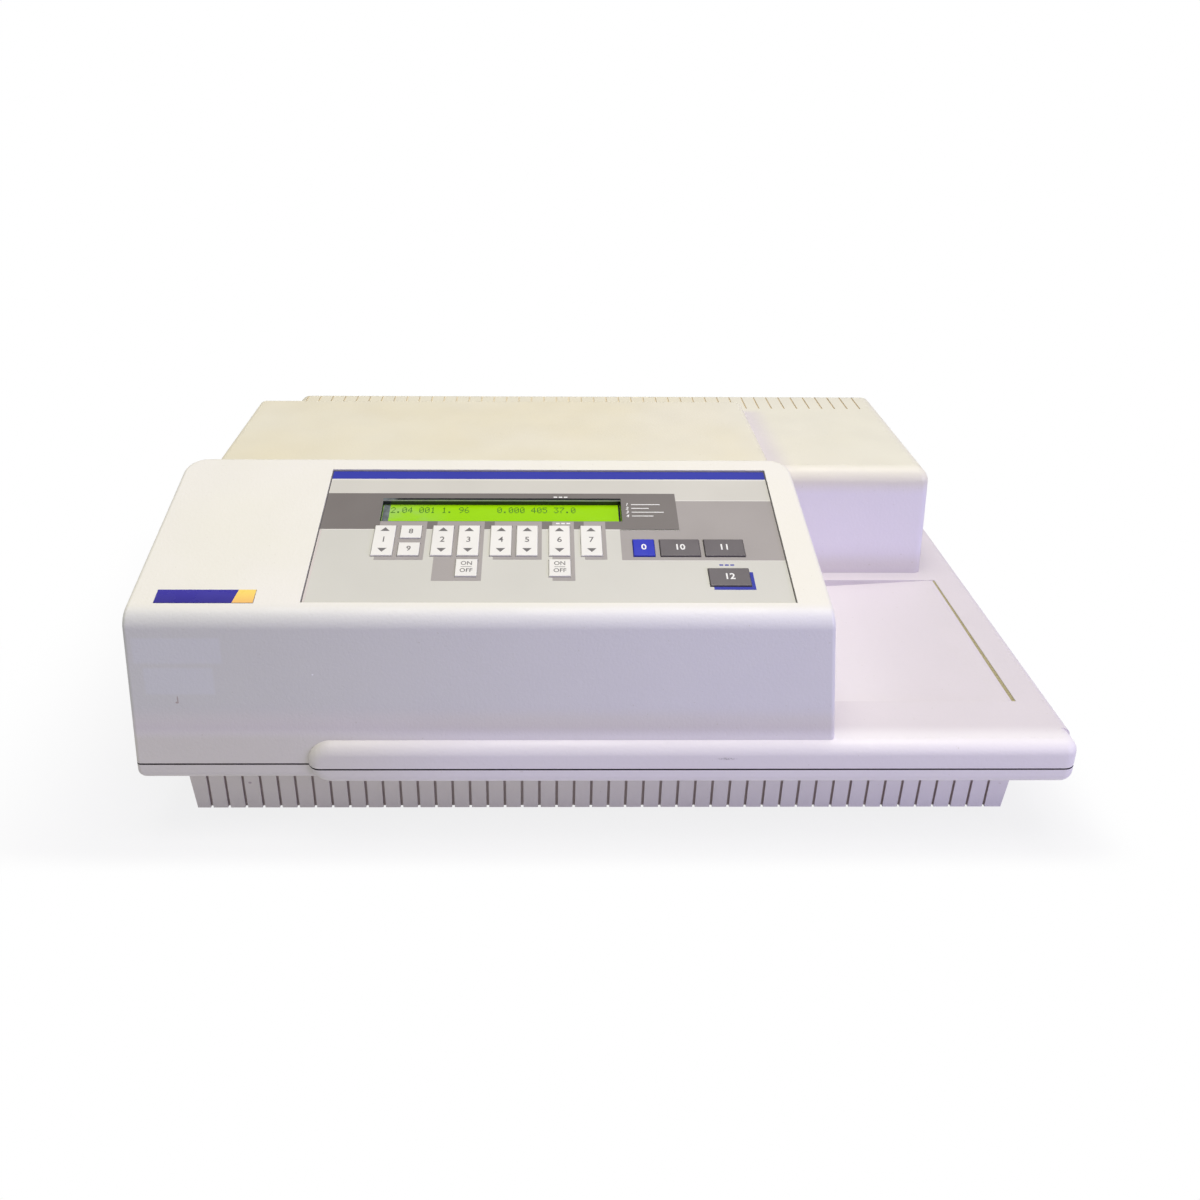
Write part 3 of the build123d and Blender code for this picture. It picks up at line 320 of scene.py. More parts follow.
def paintedVentShade(material, color, x, y, z):  # painted shade in the vent grooves, which turn over the rear edge
    look = grooveLook
    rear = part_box("top_cover")[1].y
    last = look["ventStart"] + (look["ventCount"] - 1) * look["pitch"] + look["ventWide"]
    upper = calculate(material, "GREATER_THAN", z, look["blockTop"] - look["ventDeep"] - look["slack"])
    hind = calculate(material, "GREATER_THAN", y, rear - look["ventDeep"] - look["slack"])
    vent = allOf(material, grooveStripes(material, x, look["ventStart"], look["ventWide"]),
                 within(material, x, look["ventStart"] - look["margin"], last + look["margin"], look["soft"]),
                 calculate(material, "GREATER_THAN", y, look["ventFront"] - look["slack"]),
                 calculate(material, "GREATER_THAN", z, look["blockTop"] - look["ventDrop"]),
                 calculate(material, "MAXIMUM", upper, hind))
    return blend(material, vent, color, coverLook["ventShade"])


def scuffCover(material, color):  # small marks of use: centre, size and tone of each
    marks = {"chip": ((-0.2586, -0.1835, 0.1034), (0.0005, 0.0060, 0.0030), "darkMarkAndRibShade"),
             "chipTail": ((-0.2591, -0.1835, 0.1013), (0.0012, 0.0060, 0.0008), "darkMarkAndRibShade"),
             "plinthSpeck": ((-0.2265, -0.1680, 0.0290), (0.0013, 0.0060, 0.0010), "darkMarkAndRibShade"),
             "frontFleck": ((-0.1770, -0.1832, 0.1205), (0.0007, 0.0060, 0.0007), "fleck")}
    for centre, size, tone in marks.values():
        color = blend(material, spot(material, centre, size), color, coverLook[tone])
    rub = {"centre": (0.0720, -0.1900, 0.0655), "size": (0.0080, 0.0060, 0.0013), "edge": 0.2, "grain": 900.0}
    rubbed = allOf(material, spot(material, rub["centre"], rub["size"], rub["edge"]),
                   ramp(material, noise(material, rub["grain"], 3), 0.4, 0.6, 0.1, 0.7))
    return blend(material, rubbed, color, coverLook["rub"])


def labelGhosts(material, color):  # where two labels once kept the plastic clean
    look = {"upper": (-0.282, -0.230, 0.128, 0.145), "lower": (-0.277, -0.236, 0.107, 0.125),
            "soft": 0.0012, "front": (-0.176, -0.172), "share": 0.25}
    x, y, z = axes(material)
    for x0, x1, z0, z1 in (look["upper"], look["lower"]):
        label = allOf(material, within(material, x, x0, x1, look["soft"]),
                      within(material, z, z0, z1, look["soft"]), ramp(material, y, *look["front"], 1.0, 0.0))
        share = calculate(material, "MULTIPLY", label, look["share"])
        color = blend(material, share, color, coverLook["ghost"])
    return color


def makeCoverPlastic():
    look = {"cloud": 5.0, "cloudMost": 0.35, "speck": 420.0, "speckMost": 0.30, "spread": 0.07,
            "grain": 520.0, "grainDeep": 0.00022, "fine": 1700.0, "fineDeep": 0.00006}
    material = newMaterial("texturedCoverPlastic", coverLook["cream"], coverLook["roughness"])
    cloud = ramp(material, noise(material, look["cloud"], 5), 0.35, 0.7, 0.0, look["cloudMost"])
    color = blend(material, cloud, coverLook["cream"], coverLook["cloudAndLowLight"])
    x, y, z = axes(material)
    color = yellowLid(material, color, x, y, z)
    color = paintedLidShadow(material, color, x, y, z)
    color = paintedWallLight(material, color, x, y, z)
    color = paintedFaceShade(material, color, x, y, z)
    color = paintedDeckShadeLowLight(material, color, y, z)
    color = sillTonePlinthShade(material, color, x, y, z)
    specks = ramp(material, noise(material, look["speck"], 2, offset=(1, 5, 2)), 0.73, 0.78, 0.0,
                  look["speckMost"])
    color = blend(material, specks, color, tint(coverLook["aged"], 0.6))
    color = labelGhosts(material, scuffCover(material, color))
    color = darkenParting(material, color, z)
    color = paintedRibShade(material, color, x, y, z)
    paint(material, paintedVentShade(material, color, x, y, z))
    roughen(material, noise(material, 30.0, 4), coverLook["roughness"] - look["spread"],
            coverLook["roughness"] + look["spread"])
    addBump(material, noise(material, look["grain"], 3), look["grainDeep"], 0.7)
    addBump(material, noise(material, look["fine"], 2), look["fineDeep"], 0.5)
    return material


def makeDisplayGreen():  # lit green glass with a painted glare at its left end
    look = {"green": (0.270, 0.560, 0.001), "glare": (0.30, 0.47, 0.15), "glow": 0.20}
    material = newMaterial("displayGreen", look["green"], 0.16)
    x = axes(material)[0]
    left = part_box("lcd_glass")[0].x
    glare = allOf(material, ramp(material, x, left, left + 0.050, 1.0, 0.0),
                 ramp(material, noise(material, 45.0, 4, (1, 2, 2)), 0.35, 0.7, 0.10, 0.80))
    color = blend(material, glare, look["green"], look["glare"])
    paint(material, color)
    shader = material.node_tree.nodes["Principled BSDF"]
    join(material, color, shader.inputs["Emission Color"])
    shader.inputs["Emission Strength"].default_value = look["glow"]
    roughen(material, noise(material, 120.0, 3), 0.12, 0.22)
    return material


def makeBoardGreen():  # solder mask with copper runs under it
    look = {"mask": (0.012, 0.120, 0.050), "copper": (0.030, 0.210, 0.085)}
    material = newMaterial("solderMask", look["mask"], 0.32)
    place = addNode(material, "ShaderNodeTexCoord")
    runs = addNode(material, "ShaderNodeTexBrick")
    runs.inputs["Scale"].default_value = 130.0
    runs.inputs["Mortar Size"].default_value = 0.03
    join(material, place.outputs["Object"], runs.inputs["Vector"])
    paint(material, blend(material, runs.outputs["Fac"], look["mask"], look["copper"]))
    addBump(material, runs.outputs["Fac"], 0.00004)
    return material


def makeStripFoam():  # worn foam showing beside a cream lip, in the deck's painted shade, that widens towards the back
    look = {"light": (0.430, 0.385, 0.215), "dark": (0.290, 0.250, 0.130), "near": 0.0024, "far": 0.0015}
    material = newMaterial("stripFoam", look["light"], 0.9)
    low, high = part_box("bay_strip")
    x, y = axes(material)[:2]
    pores = noise(material, 900.0, 3)
    foam = blend(material, ramp(material, pores, 0.35, 0.6, 0.0, 1.0), look["dark"], look["light"])
    edge = ramp(material, y, low.y, high.y, high.x - look["near"], high.x - look["far"])
    inside = calculate(material, "GREATER_THAN", x, edge)
    paint(material, blend(material, inside, coverLook["deckShade"], foam))
    addBump(material, calculate(material, "MULTIPLY", pores, inside), 0.0004)
    return material


def makeWindowBlack():  # polished black frame, with a painted glare towards its left end
    look = {"black": (0.012, 0.014, 0.014), "glare": (0.19, 0.22, 0.22)}
    material = newMaterial("windowBlack", look["black"], 0.15)
    x = axes(material)[0]
    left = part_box("lcd_glass")[0].x
    glare = allOf(material, ramp(material, x, left + 0.004, left + 0.012, 1.0, 0.0),
                 ramp(material, noise(material, 160.0, 3), 0.3, 0.7, 0.4, 1.0))
    paint(material, blend(material, glare, look["black"], look["glare"]))
    roughen(material, noise(material, 200.0, 3), 0.12, 0.24)
    return material


def makeBadgeInk(name, low, high, roughness):  # printed foil, one tone at the foot and one at the head
    material = newMaterial(name, low, roughness)
    z = axes(material)[2]
    badgeLow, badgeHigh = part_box("badge_plate")
    paint(material, blend(material, ramp(material, z, badgeLow.z, badgeHigh.z, 0.0, 1.0), low, high))
    addBump(material, noise(material, 1400.0, 2), 0.00001)
    roughen(material, noise(material, 90.0, 3), roughness - 0.05, roughness + 0.05)
    return material


finishes = {
    "cover": makeCoverPlastic(),
    "foot_rubber": mottled("footRubber", (0.04, 0.04, 0.042), 0.75),
    "screw_steel": brushed("screwSteel", (0.56, 0.56, 0.57), 0.34, (1, 6, 1)),
    "strip_foam": makeStripFoam(),
    "panel_grey": filmed("panelFilm", (0.600, 0.590, 0.530), 0.42, 0.02, 8.0),
    "board_green": makeBoardGreen(),
    "black_plastic": mottled("blackPlastic", (0.022, 0.022, 0.024), 0.32),
    "display_green": makeDisplayGreen(),
    "badge_blue": makeBadgeInk("badgeBlue", (0.030, 0.022, 0.240), (0.045, 0.035, 0.330), 0.28),
    "carriage_black": mottled("carriageBlack", (0.03, 0.03, 0.032), 0.5),
    "bearing_brass": brushed("bearingBrass", (0.66, 0.47, 0.20), 0.28, (1, 8, 8)),
    "aluminium_parts": brushed("milledAluminium", (0.68, 0.69, 0.71), 0.36, (8, 1, 1)),
    "rod_steel": brushed("groundSteel", (0.64, 0.64, 0.65), 0.20, (1, 14, 14)),
    "bar_black": mottled("blackAnodised", (0.030, 0.030, 0.034), 0.42, metallic=0.6),
    "motor_black": mottled("motorBlack", (0.030, 0.030, 0.030), 0.4),
    "belt_rubber": mottled("beltRubber", (0.020, 0.020, 0.020), 0.7),
    "grating_mirror": brushed("gratingMirror", (0.85, 0.86, 0.90), 0.06, (40, 1, 1)),
    "lamp_glass": mottled("lampGlass", (0.90, 0.93, 0.97), 0.08, 0.02),
    "fibre_sleeve": mottled("fibreSleeve", (0.050, 0.050, 0.055), 0.6),
    "sheet_steel": mottled("zincSheet", (0.55, 0.56, 0.56), 0.38, 0.12, 25.0, metallic=0.85),
    "rear_paint": mottled("rearPaint", (0.50, 0.49, 0.45), 0.45, 0.03, 9.0, 700.0, 0.00008),
    "rocker_black": mottled("rockerBlack", (0.015, 0.015, 0.016), 0.25),
    "key_white": filmed("keyWhite", (0.790, 0.775, 0.725), 0.40, 0.02, 30.0),
    "key_blue": filmed("keyBlue", (0.010, 0.022, 0.450), 0.40, 0.03, 30.0),
    "key_dark": filmed("keyDark", (0.126, 0.112, 0.116), 0.40, 0.03, 30.0),
}
inks = {
    "blue": filmed("inkBlue", (0.010, 0.020, 0.335), 0.55),
    "light": filmed("inkLight", (0.590, 0.572, 0.512), 0.42, 0.02, 12.0),
    "dark": filmed("inkDark", (0.180, 0.162, 0.150), 0.42, 0.04, 8.0),
    "mid": filmed("inkMid", (0.350, 0.322, 0.305), 0.42),
    "edge": filmed("inkEdge", (0.600, 0.550, 0.510), 0.42),
    "pale": filmed("inkPale", (0.680, 0.665, 0.610), 0.42, 0.02, 12.0),
    "gloss": makeWindowBlack(),
    "rim": filmed("inkRimShadow", (0.085, 0.078, 0.080), 0.6, 0.10, 40.0),
    "white": filmed("inkWhite", (0.830, 0.825, 0.800), 0.42, 0.02, 12.0),
    "grey": filmed("inkGrey", (0.150, 0.142, 0.138), 0.45),
    "yellow": makeBadgeInk("inkYellow", (0.860, 0.480, 0.150), (0.930, 0.680, 0.150), 0.3),
    "display": mottled("inkDisplay", (0.050, 0.170, 0.010), 0.3, 0.05, 30.0, 900.0, 0.00001),
    "pin": brushed("pinMetal", (0.72, 0.66, 0.50), 0.3, (6, 1, 1)),
    "socket": mottled("socketBlack", (0.020, 0.020, 0.022), 0.4),
}
print("materials made")


# CAD nodes take their finish and smooth shading, with an edge wherever faces meet at a sharp angle
weldReach, sharpAngle = 0.000002, 28
slotOf = {row["node"]: row["material_slot"] for row in frame["record"]["subparts"]}
for nodeName, piece in nodes.items():
    piece.data.materials.clear()
    piece.data.materials.append(finishes[slotOf[nodeName]])
    for face in piece.data.polygons:
        face.use_smooth = True
    weld = piece.modifiers.new("weld", "WELD")
    weld.merge_threshold = weldReach
    split = piece.modifiers.new("edges", "EDGE_SPLIT")
    split.split_angle = math.radians(sharpAngle)
    even = piece.modifiers.new("normals", "WEIGHTED_NORMAL")
    even.keep_sharp = True
print("solids finished")


# helpers for new pieces
def addPiece(name, shape, body, material, place=None):
    mesh = bpy.data.meshes.new(name)
    if place is not None:
        bmesh.ops.transform(shape, matrix=place, verts=shape.verts)
    bmesh.ops.recalc_face_normals(shape, faces=shape.faces)
    shape.to_mesh(mesh)
    shape.free()
    piece = bpy.data.objects.new(name, mesh)
    bpy.context.scene.collection.objects.link(piece)
    mesh.materials.append(material)
    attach(piece, body)
    return piece


def thicken(shape, thick):
    raised = bmesh.ops.extrude_face_region(shape, geom=shape.faces[:])
    top = [item for item in raised["geom"] if isinstance(item, bmesh.types.BMVert)]
    bmesh.ops.translate(shape, vec=(0, 0, thick), verts=top)


def flatSheet(u0, u1, v0, v1, thick, level, holes=()):
    shape = bmesh.new()
    bmesh.ops.create_grid(shape, x_segments=1, y_segments=1, size=0.5)
    bmesh.ops.scale(shape, vec=(u1 - u0, v1 - v0, 1), verts=shape.verts)
    bmesh.ops.translate(shape, vec=((u0 + u1) / 2, (v0 + v1) / 2, level), verts=shape.verts)
    for h0, h1, g0, g1 in holes:
        for point, normal in (((h0, 0, 0), (1, 0, 0)), ((h1, 0, 0), (1, 0, 0)),
                              ((0, g0, 0), (0, 1, 0)), ((0, g1, 0), (0, 1, 0))):
            geometry = shape.verts[:] + shape.edges[:] + shape.faces[:]
            bmesh.ops.bisect_plane(shape, geom=geometry, plane_co=point, plane_no=normal)
    inside = [face for face in shape.faces
              if any(h0 < face.calc_center_median().x < h1 and g0 < face.calc_center_median().y < g1
                     for h0, h1, g0, g1 in holes)]
    bmesh.ops.delete(shape, geom=inside, context="FACES")
    thicken(shape, thick)
    return shape


def wordShape(words, height, bold=0.0, slant=0.0):
    curve = bpy.data.curves.new("words", "FONT")
    curve.body = words
    curve.size = height
    curve.align_x = "CENTER"
    curve.align_y = "CENTER"
    curve.shear = slant
    curve.offset = bold
    curve.extrude = 0.03
    curve.resolution_u = 3
    holder = bpy.data.objects.new("words", curve)
    bpy.context.scene.collection.objects.link(holder)
    bpy.context.view_layer.update()
    mesh = bpy.data.meshes.new_from_object(holder)
    shape = bmesh.new()
    shape.from_mesh(mesh)
    bmesh.ops.remove_doubles(shape, verts=shape.verts, dist=0.0001)
    bpy.data.objects.remove(holder)
    bpy.data.meshes.remove(mesh)
    return shape


def merged(shapes):
    mesh = bpy.data.meshes.new("merged")
    whole = bmesh.new()
    for shape in shapes:
        shape.to_mesh(mesh)
        whole.from_mesh(mesh)
        shape.free()
    bpy.data.meshes.remove(mesh)
    return whole


# printed fields of the control panel
keyNames = [name for name in nodes if name.startswith("key_")]
caps = {key: keyCap(key) for key in keyNames}
keyGap, glassGap = 0.35, 0.2
keyHoles = [(u0 - keyGap, u1 + keyGap, v0 - keyGap, v1 + keyGap) for u0, u1, v0, v1, top in caps.values()]
glassLow, glassHigh = spread("lcd_glass", panelBack)
displayHole = (glassLow.x - glassGap, glassHigh.x + glassGap, glassLow.y - glassGap, glassHigh.y + glassGap)
film = {"thick": 0.05, "step": 0.03, "rim": 0.15}


def printedField(name, ink, u0, u1, v0, v1, layer):  # cut out round the keys and the display
    near = [hole for hole in keyHoles + [displayHole]
            if hole[0] < u1 and hole[1] > u0 and hole[2] < v1 and hole[3] > v0]
    shape = flatSheet(u0, u1, v0, v1, film["thick"], layer * film["step"], near)
    return addPiece(name, shape, "base", inks[ink], panelFrame)


# ends of the fields: u from the panel's left side, v from its foot
left, right = film["rim"], panelWide - film["rim"]
darkEnd, fieldStart = 231.2, 192.8
stripeHead, stripeFoot, lightHead, darkHead, lightFoot = 121.9, 114.1, 112.6, 99.3, 92.8
fieldHead, keysHead, darkFoot, leftHead, highlightFoot = 92.0, 71.7, 64.5, 64.0, 63.6
fieldFoot, fieldHighlightFoot, keysFoot, setupFoot = 36.5, 35.8, 37.1, 36.7
# the pale lines under the dark band and at the head and foot of the right field are painted highlights where the
# print ends
fields = {
    "stripeBlue": ("blue", left, right, stripeFoot, stripeHead, 0),
    "stripeEdge": ("pale", left, right, lightHead, stripeFoot, 0),
    "bandLight": ("light", left, right, darkHead, lightHead, 0),
    "bandLightEnd": ("light", darkEnd, right, lightFoot, darkHead, 0),
    "edgeLeft": ("edge", left, 2.0, 0.3, leftHead, 0),
    "edgeFootHighlight": ("pale", left, darkEnd, highlightFoot, darkFoot, 0),
    "fieldRight": ("mid", fieldStart, right, fieldFoot, fieldHead, 0),
    "fieldRightHeadHighlight": ("pale", darkEnd, right, fieldHead, lightFoot, 0),
    "fieldRightFootHighlight": ("pale", fieldStart, right, fieldHighlightFoot, fieldFoot, 0),
    "bandDark": ("dark", left, darkEnd, darkFoot, darkHead, 1),
    "fieldSetup": ("mid", 38.4, 68.8, setupFoot, keysHead, 2),
    "fieldWave": ("mid", 75.4, 105.8, 18.8, keysHead, 2),
    "fieldMode": ("mid", 112.3, 142.7, keysFoot, keysHead, 2),
    "fieldTemp": ("mid", 149.4, 163.3, 18.9, keysHead, 2),
    "fieldMix": ("mid", 169.7, 183.6, keysFoot, keysHead, 2),
    "readShade": ("blue", 247.2, 272.6, 11.5, 26.3, 1),
}
for name, (ink, u0, u1, v0, v1, layer) in fields.items():
    printedField(name, ink, u0, u1, v0, v1, layer)


def makePanelRimShadow():  # a dark sheet of painted shadow at the film's edge, where it drops into its pocket
    look = {"side": 0.50, "head": 0.55, "foot": 0.35, "gap": 0.02, "thick": 0.04, "level": 0.10}
    hole = (look["side"], panelWide - look["side"], look["foot"], panelTall - look["head"])
    gap = look["gap"]
    shape = flatSheet(gap, panelWide - gap, gap, panelTall - gap, look["thick"], look["level"], [hole])
    addPiece("panelRimShadow", shape, "base", inks["rim"], panelFrame)


makePanelRimShadow()
print("panel printed")


# marks on the keys, each with its height above the cap's foot
markLook = {"upArrow": 22.9, "downArrow": 5.2, "number": 14.0, "numberTall": 6.6, "numberBold": 0.07,
            "smallNumber": 5.8, "smallTall": 6.0, "on": 10.7, "off": 4.6, "wordTall": 4.6, "wordBold": 0.05,
            "lineSide": 3.4, "lineFoot": 7.6, "lineHead": 7.95, "darkNumber": 7.5, "darkTall": 6.8,
            "darkBold": 0.16, "thick": 0.03}


def keyMark(name, key, words, up, height, ink, bold=0.0):
    u0, u1, v0, v1, top = caps[key]
    shape = wordShape(words, height, bold)
    bmesh.ops.translate(shape, vec=((u0 + u1) / 2, v0 + up, top), verts=shape.verts)
    return addPiece(name, shape, key + "_body", inks[ink], panelFrame)


def arrowMark(name, key, up, pointsUp):
    look = {"half": 3.0, "rise": 1.70}
    u0, u1, v0, v1, top = caps[key]
    shape = bmesh.new()
    bmesh.ops.create_circle(shape, cap_ends=True, segments=3, radius=1.0)
    bmesh.ops.scale(shape, vec=(look["half"] / 0.866, look["rise"] / 0.75, 1), verts=shape.verts)
    tip = max(shape.verts, key=lambda vertex: vertex.co.y)
    if (tip.co.y > look["rise"] * 1.2) != pointsUp:
        bmesh.ops.rotate(shape, cent=(0, 0, 0), matrix=Matrix.Rotation(math.pi, 3, "Z"), verts=shape.verts)
    bmesh.ops.translate(shape, vec=((u0 + u1) / 2, v0 + up, top), verts=shape.verts)
    thicken(shape, markLook["thick"])
    return addPiece(name, shape, key + "_body", inks["grey"], panelFrame)


tallKeys = ("key_setup", "key_wave_one", "key_wave_two", "key_mode", "key_time", "key_temp", "key_mix")
for index, key in enumerate(tallKeys):
    arrowMark(key + "_up", key, markLook["upArrow"], True)
    arrowMark(key + "_down", key, markLook["downArrow"], False)
    keyMark(key + "_number", key, str(index + 1), markLook["number"], markLook["numberTall"], "grey",
            markLook["numberBold"])
for key, words in (("key_save", "8"), ("key_recall", "9")):
    keyMark(key + "_number", key, words, markLook["smallNumber"], markLook["smallTall"], "grey",
            markLook["numberBold"])
for key in ("key_wave_switch", "key_temp_switch"):
    keyMark(key + "_on", key, "ON", markLook["on"], markLook["wordTall"], "grey", markLook["wordBold"])
    keyMark(key + "_off", key, "OFF", markLook["off"], markLook["wordTall"], "grey", markLook["wordBold"])
    u0, u1, v0, v1, top = caps[key]
    line = flatSheet(u0 + markLook["lineSide"], u1 - markLook["lineSide"], v0 + markLook["lineFoot"],
                     v0 + markLook["lineHead"], markLook["thick"], top)
    addPiece(key + "_line", line, key + "_body", inks["grey"], panelFrame)
for key, words in (("key_shift", "0"), ("key_print", "10"), ("key_drawer", "11"), ("key_read", "12")):
    keyMark(key + "_number", key, words, markLook["darkNumber"], markLook["darkTall"], "white",
            markLook["darkBold"])
print("keys marked")


# captions: numbers, lines and dashes in place of words
def makeCaptionRows():
    look = {"u": 198.5, "v": 88.4, "step": 3.72, "lengths": (22.0, 14.5, 24.0, 17.0), "tall": 3.6,
            "bold": 0.08, "slant": 0.25, "gap": 3.0, "half": 0.35, "thick": 0.03, "level": 0.08}
    rows = []
    for index, length in enumerate(look["lengths"]):
        v = look["v"] - index * look["step"]
        number = wordShape(str(index + 1), look["tall"], look["bold"], look["slant"])
        bmesh.ops.translate(number, vec=(look["u"], v, look["level"]), verts=number.verts)
        rows.append(number)
        rows.append(flatSheet(look["u"] + look["gap"], look["u"] + length, v - look["half"], v + look["half"],
                              look["thick"], look["level"]))
    addPiece("captionRows", merged(rows), "base", inks["white"], panelFrame)


def makeCaptionDashes(name, u, v, ink, level):  # three dashes about u
    look = {"start": 4.6, "wide": 2.4, "step": 3.4, "half": 0.55, "thick": 0.03}
    dashes = []
    for index in range(3):
        u0 = u - look["start"] + index * look["step"]
        dashes.append(flatSheet(u0, u0 + look["wide"], v - look["half"], v + look["half"], look["thick"],
                                level))
    addPiece(name, merged(dashes), "base", inks[ink], panelFrame)


makeCaptionRows()
makeCaptionDashes("captionHead", 155.0, 95.6, "white", 0.08)
makeCaptionDashes("captionSet", 156.4, 69.9, "white", 0.11)
makeCaptionDashes("captionRead", 257.4, 32.5, "blue", 0.0)


# dot matrix digits of the display
digitDots = {
    "0": "01110 10001 10011 10101 11001 10001 01110", "1": "00100 01100 00100 00100 00100 00100 01110",
    "2": "01110 10001 00001 00010 00100 01000 11111", "3": "11111 00010 00100 00010 00001 10001 01110",
    "4": "00010 00110 01010 10010 11111 00010 00010", "5": "11111 10000 11110 00001 00001 10001 01110",
    "6": "00110 01000 10000 11110 10001 10001 01110", "7": "11111 00001 00010 00100 01000 01000 01000",
    "8": "01110 10001 10001 01110 10001 10001 01110", "9": "01110 10001 10001 01111 00001 00010 01100",
    ".": "00000 00000 00000 00000 00000 01100 01100",
}


def displayLine(name, words, u, v):
    look = {"dotWide": 0.60, "dotTall": 0.80, "share": 0.46, "pitch": 3.74, "lift": 0.02, "thick": 0.02}
    shape = bmesh.new()
    for index, letter in enumerate(words):
        for row, dots in enumerate(digitDots.get(letter, "").split()):
            for column in range(5):
                if dots[column] == "1":
                    made = bmesh.ops.create_grid(shape, x_segments=1, y_segments=1, size=look["share"])
                    bmesh.ops.scale(shape, vec=(look["dotWide"], look["dotTall"], 1), verts=made["verts"])
                    place = (u + index * look["pitch"] + column * look["dotWide"],
                             v - row * look["dotTall"], glassHigh.z + look["lift"])
                    bmesh.ops.translate(shape, vec=place, verts=made["verts"])
    thicken(shape, look["thick"])
    return addPiece(name, shape, "base", inks["display"], panelFrame)


lineStart = {"left": 5.6, "right": 75.8, "high": 17.4}
displayLine("displayLeft", "2.04 001 1. 96", glassLow.x + lineStart["left"], glassLow.y + lineStart["high"])
displayLine("displayRight", "0.000 405 37.0", glassLow.x + lineStart["right"], glassLow.y + lineStart["high"])


def makeDisplayFrame():  # black sides in the window, and a brow above it that stands for the dark frame and paints the shade on the recess's upper wall
    look = {"left": 4.6, "right": 1.6, "foot": 0.2, "head": 0.2, "inset": 0.25, "thick": 0.1,
            "brow": 1.7, "browThick": 0.03, "browLevel": 0.08}
    foot, head = glassLow.y + look["foot"], glassHigh.y - look["head"]
    sides = [flatSheet(u0, u1, foot, head, look["thick"], glassHigh.z)
             for u0, u1 in ((glassLow.x + look["inset"], glassLow.x + look["left"]),
                            (glassHigh.x - look["right"], glassHigh.x - look["inset"]))]
    addPiece("displayFrame", merged(sides), "base", inks["gloss"], panelFrame)
    left, right, _, top = displayHole
    brow = flatSheet(left, right, top, top + look["brow"], look["browThick"], look["browLevel"])
    addPiece("displayBrowShade", brow, "base", inks["gloss"], panelFrame)


makeDisplayFrame()


# badge: a bare two-colour plate
def makeBadge():
    look = {"share": 0.785, "slant": 2.2, "thick": 0.05}
    low, high = spread("badge_plate", panelBack)
    shape = bmesh.new()
    bmesh.ops.create_grid(shape, x_segments=1, y_segments=1, size=0.5)
    wide, tall = high.x - low.x, high.y - low.y
    start = low.x + wide * look["share"]
    bmesh.ops.scale(shape, vec=(high.x - start, tall, 1), verts=shape.verts)
    bmesh.ops.translate(shape, vec=((start + high.x) / 2, (low.y + high.y) / 2, high.z), verts=shape.verts)
    corner = [vertex for vertex in shape.verts if vertex.co.x < start + 1 and vertex.co.y > low.y + 1]
    bmesh.ops.translate(shape, vec=(look["slant"], 0, 0), verts=corner)
    thicken(shape, look["thick"])
    addPiece("badgeEnd", shape, "base", inks["yellow"], panelFrame)


makeBadge()
print("display and badge made")


# small fittings at the back
backward = Matrix.Rotation(-math.pi / 2, 4, "X")


def roundHead(shape, centre, radius, high):  # a domed screw head that points to +Y
    crown = 0.72
    made = bmesh.ops.create_cone(shape, cap_ends=True, segments=24, radius1=radius, radius2=radius * crown,
                                 depth=high)
    turn = Matrix.Translation(centre) @ backward @ Matrix.Translation((0, 0, high / 2))
    bmesh.ops.transform(shape, matrix=turn, verts=made["verts"])


def makeRearScrews():
    look = {"radius": 3.0, "high": 1.6, "edge": 5.0, "side": 14.0, "foot": 8.0, "head": 10.0}
    low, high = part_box("rear_panel")
    fanLow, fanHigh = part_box("fan_housing")
    shape = bmesh.new()
    spots = [(low.x / mm + look["side"], low.z / mm + look["foot"]),
             (low.x / mm + look["side"], high.z / mm - look["head"]),
             (high.x / mm - look["side"], (fanLow.z + fanHigh.z) / 2 / mm)]
    for x in (fanLow.x / mm + look["edge"], fanHigh.x / mm - look["edge"]):
        for z in (fanLow.z / mm + look["edge"], fanHigh.z / mm - look["edge"]):
            spots.append((x, z))
    for x, z in spots:
        roundHead(shape, (x, high.y / mm, z), look["radius"], look["high"])
    addPiece("rearScrews", shape, "base", finishes["screw_steel"], Matrix.Scale(mm, 4))


def portFace(x, y, z):  # the dark moulding inside a connector's slanted rim
    look = {"wide": 36.4, "tall": 6.0, "slant": 1.0, "thick": 0.06}
    shape = bmesh.new()
    bmesh.ops.create_grid(shape, x_segments=1, y_segments=1, size=0.5)
    bmesh.ops.scale(shape, vec=(look["wide"], look["tall"], 1), verts=shape.verts)
    for vertex in shape.verts:
        if vertex.co.y < 0:
            vertex.co.x *= 1 - 2 * look["slant"] / look["wide"]
    thicken(shape, look["thick"])
    turn = Matrix.Translation((x, y, z)) @ backward @ Matrix.Scale(-1, 4, (0, 1, 0))
    bmesh.ops.transform(shape, matrix=turn, verts=shape.verts)
    return shape


def addRod(shape, centre, radius, long, segments):  # a short rod along Y about its middle
    made = bmesh.ops.create_cone(shape, cap_ends=True, segments=segments, radius1=radius, radius2=radius,
                                 depth=long)
    turn = Matrix.Translation(centre) @ Matrix.Rotation(math.pi / 2, 4, "X")
    bmesh.ops.transform(shape, matrix=turn, verts=made["verts"])


